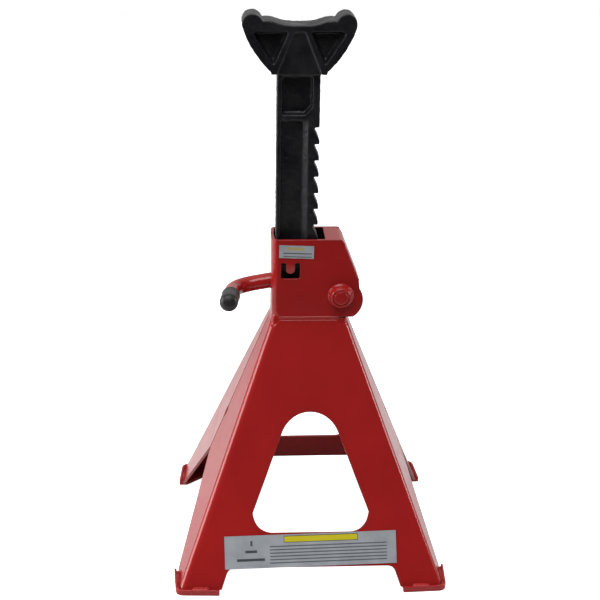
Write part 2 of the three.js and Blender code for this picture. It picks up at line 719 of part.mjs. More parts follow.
function pawl() {
  const hub = cylinderAlongY(HUB_RADIUS, -PAWL_HALF_D, PAWL_HALF_D, PIVOT_X, PIVOT_Z);
  const nose = prismAlongY(noseShape(), -PAWL_HALF_D, BAR_BACK - GAP, 12);
  const arm = prismAlongY(armShape(), BAR_BACK + 1.8, PAWL_HALF_D);
  const bore = cylinderAlongY(PIN_RADIUS + PIN_RUNNING, -30, 30, PIVOT_X, PIVOT_Z);
  return hub.add(nose).add(arm).subtract(bore);
}

// centre line of the rod: straight out to the left, round the bend, and forward to the grip
function rodPath(startX, endFraction) {
  const path = new THREE.CurvePath();
  const bendIn = new THREE.Vector3(ROD_BEND_X + ROD_BEND_RADIUS, ROD_Y, rodZ(ROD_BEND_X + ROD_BEND_RADIUS));
  const corner = new THREE.Vector3(ROD_BEND_X, ROD_Y, rodZ(ROD_BEND_X));
  const forward = GRIP_END.clone().sub(corner).normalize();
  const bendOut = corner.clone().addScaledVector(forward, ROD_BEND_RADIUS);
  const end = corner.clone().lerp(GRIP_END, endFraction);
  path.add(new THREE.LineCurve3(new THREE.Vector3(startX, ROD_Y, rodZ(startX)), bendIn));
  path.add(new THREE.QuadraticBezierCurve3(bendIn, corner, bendOut));
  path.add(new THREE.LineCurve3(bendOut, end));
  return path;
}

function disc(radius, sides) {
  const points = [];
  for (let i = 0; i < sides; i += 1) {
    const angle = (2 * Math.PI * i) / sides;
    points.push(new THREE.Vector2(radius * Math.cos(angle), radius * Math.sin(angle)));
  }
  return new THREE.Shape(points);
}

function handleRod() {
  const path = rodPath(ROD_START_X, 0.93);
  const along = { steps: 36, bevelEnabled: false, extrudePath: path };
  return solid(new THREE.ExtrudeGeometry(disc(ROD_RADIUS, 20), along));
}

function handleWeld() {
  const inner = ROD_RADIUS + GAP;
  const outer = inner + 0.7;
  const half = 2.2;
  const profile = [[inner, -half], [outer, -half / 2], [outer, half / 2], [inner, half], [inner, -half]];
  const lathe = new THREE.LatheGeometry(profile.map(([r, h]) => new THREE.Vector2(r, h)), 24);
  lathe.rotateZ(Math.PI / 2);
  lathe.rotateY(-Math.atan(ROD_SLOPE));
  const x = ROD_START_X - half - 0.4;
  return solid(lathe.translate(x, ROD_Y, rodZ(x)));
}

// vinyl sleeve: a round-ended shell dipped over the end of the rod
function handleGrip() {
  const corner = new THREE.Vector3(ROD_BEND_X, ROD_Y, rodZ(ROD_BEND_X));
  const forward = GRIP_END.clone().sub(corner).normalize();
  const start = corner.clone().addScaledVector(forward, (ROD_Y - GRIP_START_Y) / -forward.y);
  const length = start.distanceTo(GRIP_END);
  const rodEnd = corner.distanceTo(GRIP_END) * 0.93 - corner.distanceTo(start);
  const bore = ROD_RADIUS + GAP;
  const profile = [[bore, 0], [GRIP_RADIUS, 0], [GRIP_RADIUS, length - 5]];
  const domeSteps = 5;
  for (let i = 1; i <= domeSteps; i += 1) {
    const angle = (Math.PI / 2) * (i / domeSteps);
    profile.push([GRIP_RADIUS * Math.cos(angle), length - 5 + 5 * Math.sin(angle)]);
  }
  profile.at(-1)[0] = 0;
  profile.push([0, rodEnd + GAP], [bore, rodEnd + GAP], [bore, 0]);
  const lathe = new THREE.LatheGeometry(profile.map(([r, h]) => new THREE.Vector2(r, h)), 24);
  const turn = new THREE.Quaternion().setFromUnitVectors(Y, forward);
  lathe.applyQuaternion(turn);
  return solid(lathe.translate(start.x, start.y, start.z));
}

// ---- assembly ------------------------------------------------------------------------------------------------
const stand = new THREE.Group();

function add(name, manifold, finish) {
  const mesh = new THREE.Mesh(toGeometry(manifold), finish.clone());
  mesh.name = name;
  stand.add(mesh);
}

const frame = wholeFrame();
add('front_frame_half', frontHalf(frame), FINISH.red);
add('back_frame_half', backHalf(frame), FINISH.red);
add('left_seam_weld', seamWeld(-1), FINISH.red);
add('right_seam_weld', seamWeld(1), FINISH.red);

for (const [sy, end] of [[-1, 'front'], [1, 'back']]) {
  for (const [sx, side] of [[-1, 'left'], [1, 'right']]) {
    add(`${end}_${side}_foot`, foot(sx, sy), FINISH.red);
    add(`${end}_${side}_foot_weld_end`, footWeld(sx, sy, true), FINISH.red);
    add(`${end}_${side}_foot_weld_side`, footWeld(sx, sy, false), FINISH.red);
  }
}

add('pawl_cover', pawlCover(), FINISH.red);
add('bar_guide_lower', barGuideLower(), FINISH.red);
add('bar_guide_upper', barGuideUpper(), FINISH.red);
add('pivot_pin', pivotPin(), FINISH.red);
add('pivot_collar_front', pivotCollar(-1), FINISH.red);
add('pivot_collar_back', pivotCollar(1), FINISH.red);
add('pivot_spacer_front', pivotSpacer(-1), FINISH.steel);
add('pivot_spacer_back', pivotSpacer(1), FINISH.steel);
add('strap_label', capacityLabel(), FINISH.label);
add('tower_label', towerLabel(), FINISH.label);

add('ratchet_bar', ratchetBar(), FINISH.black);

add('pawl', pawl(), FINISH.black);
add('handle_rod', handleRod(), FINISH.red);
add('handle_weld', handleWeld(), FINISH.red);
add('handle_grip', handleGrip(), FINISH.vinyl);

export default stand;
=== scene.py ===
from math import acos, asin, atan, ceil, cos, degrees, hypot, pi, radians, sin, sqrt, tan

import bmesh
import bpy
import numpy as np
from mathutils import Matrix, Vector, geometry, noise


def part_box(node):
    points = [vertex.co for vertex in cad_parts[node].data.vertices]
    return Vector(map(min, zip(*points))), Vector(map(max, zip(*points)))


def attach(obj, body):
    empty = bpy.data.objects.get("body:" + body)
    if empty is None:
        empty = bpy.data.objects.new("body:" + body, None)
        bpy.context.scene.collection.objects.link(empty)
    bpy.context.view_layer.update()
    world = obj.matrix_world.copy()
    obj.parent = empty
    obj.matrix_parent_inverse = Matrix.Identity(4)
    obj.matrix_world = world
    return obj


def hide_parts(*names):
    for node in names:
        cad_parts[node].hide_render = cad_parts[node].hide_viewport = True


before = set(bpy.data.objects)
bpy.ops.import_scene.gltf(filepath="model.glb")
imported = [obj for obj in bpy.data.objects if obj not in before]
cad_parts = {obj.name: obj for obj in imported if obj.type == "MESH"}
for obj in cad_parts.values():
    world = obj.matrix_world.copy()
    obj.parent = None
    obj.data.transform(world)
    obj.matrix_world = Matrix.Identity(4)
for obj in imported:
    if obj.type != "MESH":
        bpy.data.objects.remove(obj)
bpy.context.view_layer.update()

# ---- dimensions in millimetres, in the object's own frame: +Z up, front towards -Y ----
MM = 0.001
GAP = 0.3  # left between pieces that touch
SHEET = 3.0  # thickness of the pressed halves
EDGE = 0.55  # rounding of a sheared edge
BEND = 6.5  # outer radius of the vertical bends
TOWER_TOP = 328.0
TOWER_HALF_W = 36.8
TOWER_HALF_D = 21.6
FOLD_Z = 245.4  # where the tower turns out into the legs
FOLD_BLEND = 3.5  # height either side of the fold that its bend takes
FOOT_HALF_W = 130.6  # leg planes where they reach the floor
FOOT_HALF_D = 128.0
SIDE_SLOPE = (FOOT_HALF_W - TOWER_HALF_W) / FOLD_Z
PANEL_SLOPE = (FOOT_HALF_D - TOWER_HALF_D) / FOLD_Z
FLARE = 0.055  # widening of a flange for each mm from the bend to the seam
FLARE_ANGLE = atan(FLARE)
BEND_TURN = pi / 2 - FLARE_ANGLE
BEND_REACH = BEND * tan(BEND_TURN / 2)
BEND_LENGTH = BEND * BEND_TURN
SEAM_HALF_GAP = 0.3
SEAM_GROOVE = 0.7  # how much wider each side of the welded seam opens below the fold
SEAM_GROOVE_RUN = 12.0  # height over which the groove opens to that
SLIT_Z = 136.5  # a dent in each flange's edge, where the seam's weld was left open
SLIT_HALF_HEIGHT = 4.4
SLIT_DEPTH = 3.0
LEG_BOTTOM = 3.3
NOTCH_APEX_Z = 96.0
NOTCH_SLOPE = 96.0 / 101.0  # half width of the side notch for each mm below its apex

# marks of pressing: how far each lifts the sheet, and how wide it is
FOLD_LINES = ((2.2, 0.78), (-1.5, 0.45))  # height above the fold and lift of the two lines along it
FOLD_LINE_WIDTH = 0.9
PUCKER_LIFT, PUCKER_SPREAD = 1.2, 1.7  # where the fold crosses a vertical bend
RING_LIFT, RING_RADIUS, RING_SPREAD = -0.55, 4.4, 1.1  # round the pucker
BEND_MIDDLE = 0.45  # share of the bend's length where the pucker sits
CREASE_TOP = 120.0  # the crease on a flange starts here, at the bend
CREASE_FALL = 0.31  # and falls this much for each mm towards the seam
CREASE_LIFT, CREASE_WIDTH = -0.16, 1.6
SWELL = 0.12  # slow waves over the whole sheet
INSIDE_SHADE_START_Z = FOLD_Z - 18  # the inner face is painted near black from here up, as painted shade inside the tower
INSIDE_SHADE_RUN = 22

# how the sheet is divided
LINE_ROWS = 0.72  # between rows at the fold's lines
SHEET_ROWS = 2.6
FOLD_SPACING, FLAT_SPACING = 4.0, 7.5  # along a row near the fold, and elsewhere
CLOSEST = 0.7  # points nearer than this are thinned
RIM_CLEAR = 0.9
HALF_TURN = 0.29  # depth and inset of a quarter round at its half way, as a share of its radius

ARCH_RADIUS = 30.0
ARCH_CENTRE_Z = 131.6
ARCH_BOTTOM_Z = 53.6
ARCH_SIDE_END_Z = 71.4
ARCH_FLAT_HALF = 39.0
ARCH_SIDE_SLOPE = 0.409
STRAP_BOTTOM_Z = 22.5
STRAP_GAP_HALF = 81.0
STRAP_GAP_SLOPE = 10.0 / 27.5

COVER_TRIM = 4.5  # the cover's edge beside the bar stops this much short of the CAD strip
EAR_START_Z = 247.2  # above this the right side of each tower plate stays flat
EAR_CUT = 0.45  # half height of the cut that frees it from the bend
EAR_X = 31.9
EAR_Z = 265.2
EAR_RADIUS = 21.0
EAR_WAIST_Z = 284.0  # the slanted edge ends here and turns into the round lobe
EAR_TOP_X = 30.9
EAR_SLANT = 0.4
PIVOT_X = 30.5
PIVOT_Z = 270.7
PIN_RADIUS = 7.0

TONGUE_X = -19.0
TONGUE_HALF_W = 4.5
TONGUE_ROOT_Z = 303.2
TONGUE_TIP_Z = 292.6
TONGUE_PUSH = 1.2  # how far its tip is pushed in
WINDOW_HALF_W = 9.1  # the U-shaped window round the tongue
WINDOW_BOTTOM_Z = 287.9
WINDOW_TOP_Z = 304.2
ROD_SLOT_Z = (265.8, 314.6)
ROD_SLOT_Y = 20.6

BAR_X = -13.2
BAR_HALF_W = 20.3
BAR_FRONT = -17.0
BAR_BACK = 1.2
BAR_BOTTOM = 160.0
PITCH = 16.0
TOOTH_DEPTH = 4.8
TOOTH_ROOT = 1.2
TOOTH_HEIGHT = 11.8
LEDGE_Z = 293.4
SADDLE_FRONT = -22.5
SADDLE_BACK = 8.5
SADDLE_BOTTOM = 488.6
SADDLE_BOTTOM_HALF = 26.0
SADDLE_FLANK = (46.1, 510.0)  # pulls the flank's curve out between the foot and the horn
HORN_X = 43.4
HORN_Z = 534.7
HORN_RADIUS = 9.5
HORN_OUT, HORN_IN = -10.0, 161.0  # angles where a horn's arc meets the flank and the cradle
CRADLE_Z = 533.7
SHOULDER_Z = 538.0
SIDE_POCKET = ((9.4, 528.6, 2.5), (45, 528.6, 4), (23.6, 496.2, 2.5))  # x from the middle, z, radius
SIDE_DEPTH, SIDE_DRAFT = 8, 2.2
MIDDLE_PANEL = ((-5.4, 528.4, 2), (5.4, 528.4, 2), (21.8, 487, 0), (-21.8, 487, 0))  # open at its foot
MIDDLE_DEPTH, MIDDLE_DRAFT = 1.5, 0.3
CHANNEL = ((-16.4, -1), (-15.2, 4.6), (4.4, 4.6), (11.0, -1))  # x from the bar's middle, y from its face
CHANNEL_BOTTOM = 244.6
CHANNEL_TOP = 444.5
POCKET_BOTTOM = 449.5
POCKET_DEPTH, POCKET_DRAFT = 7, 1.0
BACK_POCKET_BOTTOM = 190
BACK_DEPTH, BACK_DRAFT = 3, 1.5
VOXEL = 0.75  # the casting is remade at this size, which rounds its edges
CAST_ROUGH, CAST_FINE = 0.26, 0.15  # lift of the coarse and the fine noise of its skin

ROD_RADIUS = 7.75
ROD_Y = 9.9
ROD_SLOPE = 0.174
ROD_START_X = -1.5
ROD_REF = (-44.0, 274.2)
ROD_BEND_X = -74.0
ROD_BEND_REACH = 24.0
GRIP_RADIUS = 8.8
GRIP_START_Y = -30.0
GRIP_END = Vector((-79.8, -62.0, 278.2))
GRIP_DOME = 6.0  # height of its rounded end

FOOT_BEAD = (2.5, 0.55)  # radius and flattening of a weld bead
FOOT_BEAD_OVERRUN = 0.5
FOOT_BEAD_SUNK = {"end": 2.2, "side": 5.0}  # below the middle of the CAD bead
SEAM_BEAD = (2.2, 0.8)
SEAM_BEAD_INSET = 2.9  # inward of the CAD bead's outer face
ROD_WELD = ((0.15, -2.2), (0.35, -1.5), (0.45, 0), (0.35, 1.5), (0.15, 2.2))  # outside the rod, along it

# the collar's section: radius, height above the tower's wall, fillet
COLLAR = [(7.1, 0, 0), (12.9, 0, 0.3), (12.9, 2.2, 0.9), (11.3, 3.2, 0.5), (10.7, 6.4, 0.8)]
COLLAR += [(9.5, 8.9, 1.2), (8.2, 9.0, 0.5), (7.1, 8.6, 0.3), (7.1, 0, 0)]
PIN_HALF_LENGTH = TOWER_HALF_D + 10
PIN_ROUND = 1.2  # rounding of its ends

FOIL = 0.35  # thickness of a label
STRAP_LABEL_HALF = (84.3, 16.0)
STRAP_LABEL_X = -0.5
STRAP_LABEL_TURN = 1.3  # degrees, as if stuck on by hand
TOWER_LABEL = ((-30.4, 310), (3.4, 308.8), (3.6, 321.8), (-30.2, 323))  # corners, x and z
STRAP_PRINT = {
    "band": {"u": (0.345, 0.777), "v": (0.75, 0.955), "edge": (0.003, 0.018), "colour": (0.62, 0.53, 0.02)},
    "rules": {"u": (0.262, 0.945), "v": (0.1, 0.7), "pitch": 0.1},
    "bars": (
        ((0.150, 0.162), (0.68, 0.84)),
        ((0.120, 0.188), (0.47, 0.55)),
        ((0.070, 0.232), (0.22, 0.30)),
    ),
}
TOWER_PRINT = {
    "band": {"u": (0.24, 0.72), "v": (0.62, 0.86), "edge": (0, 0), "colour": (0.42, 0.36, 0.16)},
    "rules": {"u": (0.12, 0.94), "v": (0.08, 0.56), "pitch": 0.27},
    "bars": (),
}

# ---- stage, in metres, degrees and watts ----
CAMERA_YAW, CAMERA_PITCH, CAMERA_ROLL = 3.475, 21.266, 0.883
CAMERA_PLACE = (-0.08433, -1.25616, 0.74733)
LENS_MM, SENSOR_MM = 81.12, 36
LIGHTS = (  # name, place, what it points at, size, power
    ("key", (-0.4, -1.1, 2.1), (0, 0, 0.2), (1.6, 1.0), 30),
    ("left_strip", (-1.5, -0.1, 0.6), (0, -0.05, 0.2), (0.9, 1.0), 22),
    ("right_strip", (1.6, 0.05, 0.7), (0.05, 0, 0.2), (0.4, 0.9), 12),
)
FLOOR_CORNERS = ((-2.2, -0.55), (2.2, -0.55), (2.2, 3.2), (-2.2, 3.2))
FLOOR_DROP = 0.0003
FLOOR_TONE = 0.72


# ---- small tools ----
def bezier(a, control, b, t):
    """Point at t on the curve from a to b that a control point pulls out."""
    return (1 - t) ** 2 * a + 2 * t * (1 - t) * control + t * t * b


def shares(count):
    return [k / count for k in range(count + 1)]


def curve(a, control, b, steps=16):
    """Points along bezier, from and to tuples."""
    a, control, b = (np.array(p) for p in (a, control, b))
    return [tuple(bezier(a, control, b, t)) for t in shares(steps)]


def unit(rows):
    return rows / np.linalg.norm(rows, axis=-1)[..., None]


def linked(name, data):
    made = bpy.data.objects.new(name, data)
    bpy.context.scene.collection.objects.link(made)
    return made


def put(name, mesh, body, finish, *nodes):
    """Link a mesh as a piece that rides on a body and stands for CAD nodes; finish is (slot, material), and
    its slot is not used.
    """
    slot, material = finish
    piece = linked(name, mesh)
    mesh.materials.clear()
    mesh.materials.append(material)
    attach(piece, body)
    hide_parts(*nodes)


def mesh_from(name, points_mm, faces, smooth=True):
    mesh = bpy.data.meshes.new(name)
    points = [tuple(float(v) * MM for v in p) for p in points_mm]
    mesh.from_pydata(points, [], [list(map(int, f)) for f in faces])
    mesh.update()
    mesh.polygons.foreach_set("use_smooth", [smooth] * len(mesh.polygons))
    return mesh


def closed_mesh(name, points_mm, faces):
    """A closed mesh with its faces turned to point outwards."""
    mesh = mesh_from(name, points_mm, faces)
    work = bmesh.new()
    work.from_mesh(mesh)
    bmesh.ops.recalc_face_normals(work, faces=work.faces)
    work.to_mesh(mesh)
    work.free()
    return mesh


def evaluated(mesh, *modifiers):
    """Run modifiers, each a (type, settings) pair, over a mesh and return the result as a new mesh."""
    carrier = linked("carrier", mesh)
    for kind, settings in modifiers:
        modifier = carrier.modifiers.new(kind.lower(), kind)
        for key, value in settings.items():
            setattr(modifier, key, value)
    bpy.context.view_layer.update()
    graph = bpy.context.evaluated_depsgraph_get()
    result = bpy.data.meshes.new_from_object(carrier.evaluated_get(graph), depsgraph=graph)
    bpy.data.objects.remove(carrier)
    return result


def tidy_mesh(mesh):
    """Join doubled corners and merge coplanar triangles, so that bevels have clean edges to work on."""
    work = bmesh.new()
    work.from_mesh(mesh)
    bmesh.ops.remove_doubles(work, verts=work.verts, dist=0.01 * MM)
    flat = radians(0.5)
    bmesh.ops.dissolve_limit(work, angle_limit=flat, verts=work.verts, edges=work.edges)
    bmesh.ops.recalc_face_normals(work, faces=work.faces)
    out = bpy.data.meshes.new(mesh.name + "_clean")
    work.to_mesh(out)
    work.free()
    out.polygons.foreach_set("use_smooth", [True] * len(out.polygons))
    return out


def softened(node, width, segments=3, angle=30):
    """A copy of a CAD node's solid with every hard edge rounded."""
    bevel = {
        "width": width * MM,
        "segments": segments,
        "limit_method": "ANGLE",
        "angle_limit": radians(angle),
        "miter_outer": "MITER_ARC",
    }
    mesh = tidy_mesh(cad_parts[node].data)
    return evaluated(mesh, ("BEVEL", bevel), ("WEIGHTED_NORMAL", {"keep_sharp": True}))


def round_path(points, step=2.5, arc_steps=6):
    """A closed polyline through (a, b, radius) corners, with no segment longer than step."""
    count = len(points)
    corners = []
    for i, (a, b, radius) in enumerate(points):
        here = np.array((a, b))
        if radius <= 0:
            corners.append([here])
            continue
        back = np.array(points[i - 1][:2]) - here
        on = np.array(points[(i + 1) % count][:2]) - here
        back = back / np.linalg.norm(back)
        on = on / np.linalg.norm(on)
        reach = radius / tan(acos(np.clip(back @ on, -1, 1)) / 2)
        start = here + back * reach
        end = here + on * reach
        corners.append([bezier(start, here, end, t) for t in shares(arc_steps)])
    flat = [p for corner in corners for p in corner]
    path = []
    for i, p in enumerate(flat):
        q = flat[(i + 1) % len(flat)]
        pieces = max(1, ceil(np.linalg.norm(q - p) / step))
        path.extend(p + (q - p) * k / pieces for k in range(pieces))
    return np.array(path)


def arc(centre, radius, start, end, steps):
    """Corners for round_path along an arc, from start to end in degrees."""
    angles = [radians(start + (end - start) * k / steps) for k in range(steps + 1)]
    return [(centre[0] + radius * cos(t), centre[1] + radius * sin(t), 0) for t in angles]


def left_normals(loop):
    """Unit-offset vectors pointing left of travel, mitred at corners."""
    ahead = unit(np.roll(loop, -1, axis=0) - loop)
    left = np.stack([-ahead[:, 1], ahead[:, 0]], axis=1)
    middle = unit(left + np.roll(left, 1, axis=0))
    stretch = 1 / np.clip((middle * left).sum(1), 0.6, 1)
    return middle * stretch[:, None]


def counter_clockwise(loop):
    a, b = loop[:, 0], loop[:, 1]
    area = (a * np.roll(b, -1) - np.roll(a, -1) * b).sum()
    return loop if area > 0 else loop[::-1]


def inside(points, loops):
    """Even-odd test of many points against several closed loops."""
    hits = np.zeros(len(points), int)
    for loop in loops:
        a = loop
        b = np.roll(loop, -1, axis=0)
        px, py = points[:, 0][:, None], points[:, 1][:, None]
        spans = (a[:, 1] > py) != (b[:, 1] > py)
        rise = np.where(b[:, 1] == a[:, 1], 1e-12, b[:, 1] - a[:, 1])
        cross_x = a[:, 0] + (py - a[:, 1]) * (b[:, 0] - a[:, 0]) / rise
        hits += (spans & (px < cross_x)).sum(1)
    return hits % 2 == 1


def clearance(points, loops):
    """Distance from each point to the nearest loop segment."""
    best = np.full(len(points), 1e9)
    for loop in loops:
        a = loop
        span = np.roll(loop, -1, axis=0) - a
        size = np.maximum((span**2).sum(1), 1e-12)
        offset = points[:, None, :] - a[None]
        t = np.clip((offset * span[None]).sum(2) / size, 0, 1)
        gap = offset - t[:, :, None] * span[None]
        best = np.minimum(best, np.sqrt((gap**2).sum(2)).min(1))
    return best


# ---- the pressed halves ----
def drop(z):
    """How far a height lies below the fold, with the fold's bend rounded in."""
    below = FOLD_Z - z
    rounded = (below + FOLD_BLEND) ** 2 / (4 * FOLD_BLEND)
    return np.where(below <= -FOLD_BLEND, 0.0, np.where(below >= FOLD_BLEND, below, rounded))


def half_w(z):
    return TOWER_HALF_W + SIDE_SLOPE * drop(z)


def half_d(z):
    return TOWER_HALF_D + PANEL_SLOPE * drop(z)


def panel_edge(z):
    """Where the flat panel ends and the bend starts, measured along the sheet from the middle."""
    return half_w(z) - BEND_REACH


def seam_edge(z):
    """Where a flange would meet the middle plane, measured the same way."""
    flange_y = half_d(z) - BEND + BEND * sin(FLARE_ANGLE)
    return panel_edge(z) + BEND_LENGTH + flange_y * hypot(1, FLARE)


def flange_edge(z):
    """Free edge of a flange: the seam with its slit above, the side notch below."""
    notch = NOTCH_SLOPE * (NOTCH_APEX_Z - z)
    groove = SEAM_GROOVE * np.clip((FOLD_Z - z) / SEAM_GROOVE_RUN, 0, 1)
    open_y = np.maximum(SEAM_HALF_GAP + groove, notch)
    dent = SLIT_DEPTH * np.exp(-(((z - SLIT_Z) / SLIT_HALF_HEIGHT) ** 4))
    return seam_edge(z) - open_y * hypot(1, FLARE) - np.where(notch < 0, dent, 0)


def bare_surface(s, z):
    """Point on the front half's outer face: s runs along the sheet from the middle, z is the height."""
    a = np.abs(s)
    side = np.where(s < 0, -1.0, 1.0)
    edge = panel_edge(z)
    flat = (a <= edge) | ((s > 0) & (z > EAR_START_Z))
    turned = np.clip((a - edge) / BEND, 0, BEND_TURN)
    along = np.maximum(a - edge - BEND_LENGTH, 0)
    x = edge + BEND * np.sin(turned) + along * sin(FLARE_ANGLE)
    y = -(half_d(z) - BEND + BEND * np.cos(turned)) + along * cos(FLARE_ANGLE)
    return np.stack([side * np.where(flat, a, x), np.where(flat, -half_d(z), y), z], axis=-1)


def sheet_normal(surface, s, z):
    h = 0.05
    across = surface(s + h, z) - surface(s - h, z)
    up = surface(s, z + h) - surface(s, z - h)
    return unit(np.cross(across, up))


def crease_z(offset):
    """Height of the faint crease that runs across a flange, falling from the bend to the seam."""
    return CREASE_TOP - CREASE_FALL * offset


def pressed_surface(s, z):
    """The outer face with what pressing leaves on it: fold lines, puckers, a crease and slow waves."""
    points = bare_surface(s, z)
    normal = sheet_normal(bare_surface, s, z)
    offset = np.abs(s) - (panel_edge(z) + BEND_LENGTH * BEND_MIDDLE)
    flat_ear = (s > 0) & (z > EAR_START_Z)
    pucker = PUCKER_LIFT * np.exp(-(offset**2 + (z - FOLD_Z) ** 2) / (2 * PUCKER_SPREAD**2))
    from_ring = np.hypot(offset, z - FOLD_Z) - RING_RADIUS
    ring = RING_LIFT * np.exp(-(from_ring**2) / (2 * RING_SPREAD**2))
    off_crease = (z - crease_z(offset)) / CREASE_WIDTH
    crease = CREASE_LIFT * np.exp(-(off_crease**2)) * np.clip((offset - 5) / 12, 0, 1)
    swell = SWELL * np.sin(z / 37.0 + 0.6) * np.sin(s / 29.0 + 0.3)
    lines = 0
    for above, rise in FOLD_LINES:
        lines = lines + rise * np.exp(-(((z - FOLD_Z - above) / FOLD_LINE_WIDTH) ** 2))
    on_panel = lines / (1 + np.exp(np.clip((offset + 5) / 0.8, -40, 40)))
    lift = np.where(flat_ear, 0, pucker + ring) + crease + swell + on_panel
    return points + normal * lift[..., None]


def with_tongue(surface):
    """The same surface with its tongue pushed in towards the bar."""

    def pushed(s, z):
        points = surface(s, z)
        on_tongue = (np.abs(s - TONGUE_X) < TONGUE_HALF_W + 0.6) & (z > TONGUE_TIP_Z - 1.5)
        down = np.clip((TONGUE_ROOT_Z + 1 - z) / (TONGUE_ROOT_Z + 1 - TONGUE_TIP_Z), 0, 1.1)
        points[..., 1] += np.where(on_tongue, TONGUE_PUSH * down**1.5, 0)
        return points

    return pushed


def arch_loop():
    tilt = degrees(atan(ARCH_SIDE_SLOPE))
    tangent_x = ARCH_RADIUS * cos(radians(tilt))
    tangent_z = ARCH_CENTRE_Z + ARCH_RADIUS * sin(radians(tilt))
    side_x = tangent_x + ARCH_SIDE_SLOPE * (tangent_z - ARCH_SIDE_END_Z)
    control = (side_x - 2.4, ARCH_BOTTOM_Z + 1.5)
    corner = curve((side_x, ARCH_SIDE_END_Z), control, (ARCH_FLAT_HALF, ARCH_BOTTOM_Z), 12)
    right = [(x, z, 0) for x, z in corner]
    left = [(-x, z, 0) for x, z in reversed(corner)]
    top = arc((0, ARCH_CENTRE_Z), ARCH_RADIUS, 180 - tilt, tilt, 36)
    return round_path(left + top + right)


def window_loop():
    """The U-shaped window that leaves the tongue standing."""
    low, high = WINDOW_BOTTOM_Z, WINDOW_TOP_Z
    left, right = TONGUE_X - WINDOW_HALF_W, TONGUE_X + WINDOW_HALF_W
    tip = arc((TONGUE_X, TONGUE_TIP_Z + TONGUE_HALF_W), TONGUE_HALF_W, 180, 360, 14)
    points = [(left, high, 1.8), (left, low, 2.2), (right, low, 2.2), (right, high, 1.8)]
    points.append((TONGUE_X + TONGUE_HALF_W, high, 1.8))
    points.extend(reversed(tip))
    points.append((TONGUE_X - TONGUE_HALF_W, high, 1.8))
    return round_path(points, step=1.2)


def pin_hole_loop():
    return round_path(arc((PIVOT_X, PIVOT_Z), PIN_RADIUS + GAP, 0, 352, 44))


def outline_loop(slotted):
    """Outer boundary of a half, counter-clockwise from outside; slotted adds the handle's opening."""
    strap_x = STRAP_GAP_HALF + STRAP_GAP_SLOPE * (STRAP_BOTTOM_Z - LEG_BOTTOM)
    foot = flange_edge(LEG_BOTTOM)
    rise = np.arange(LEG_BOTTOM + 4, EAR_START_Z - 3, 3.0)
    points = [(-foot, LEG_BOTTOM, 1), (-strap_x, LEG_BOTTOM, 1)]
    points += [(-STRAP_GAP_HALF, STRAP_BOTTOM_Z, 9), (STRAP_GAP_HALF, STRAP_BOTTOM_Z, 9)]
    points += [(strap_x, LEG_BOTTOM, 1), (foot, LEG_BOTTOM, 1)]
    points += [(flange_edge(z), z, 0) for z in rise]
    low, high = EAR_START_Z - EAR_CUT, EAR_START_Z + EAR_CUT
    relief = panel_edge(low) - 0.4
    points += [(flange_edge(low), low, 0.8)]
    points += [(relief, low, 0.4), (relief, high, 0.4)]
    ear_start = degrees(asin((high + 1 - EAR_Z) / EAR_RADIUS))
    ear = arc((EAR_X, EAR_Z), EAR_RADIUS, ear_start, 35, 34)
    waist_x = EAR_TOP_X + EAR_SLANT * (TOWER_TOP - EAR_WAIST_Z)
    points += [(ear[0][0] - 1.2, high, 0.8)] + ear
    points += [(waist_x, EAR_WAIST_Z, 3), (EAR_TOP_X, TOWER_TOP, 3.5)]
    top = flange_edge(TOWER_TOP)
    points += [(-top, TOWER_TOP, 1)]
    slot_low, slot_high = ROD_SLOT_Z
    down = np.arange(TOWER_TOP - 4, LEG_BOTTOM + 3, -3.0)
    if slotted:
        turn = pi / 2 - asin((ROD_SLOT_Y - TOWER_HALF_D + BEND) / BEND)
        deep = panel_edge(slot_high) + BEND * turn
        points += [(-flange_edge(z), z, 0) for z in down if z > slot_high + 2]
        points += [(-top, slot_high, 1.2), (-deep, slot_high, 2.5)]
        points += [(-deep, slot_low, 2.5), (-top, slot_low, 1.2)]
        down = [z for z in down if z < slot_low - 2]
    points += [(-flange_edge(z), z, 0) for z in down]
    return round_path(points)


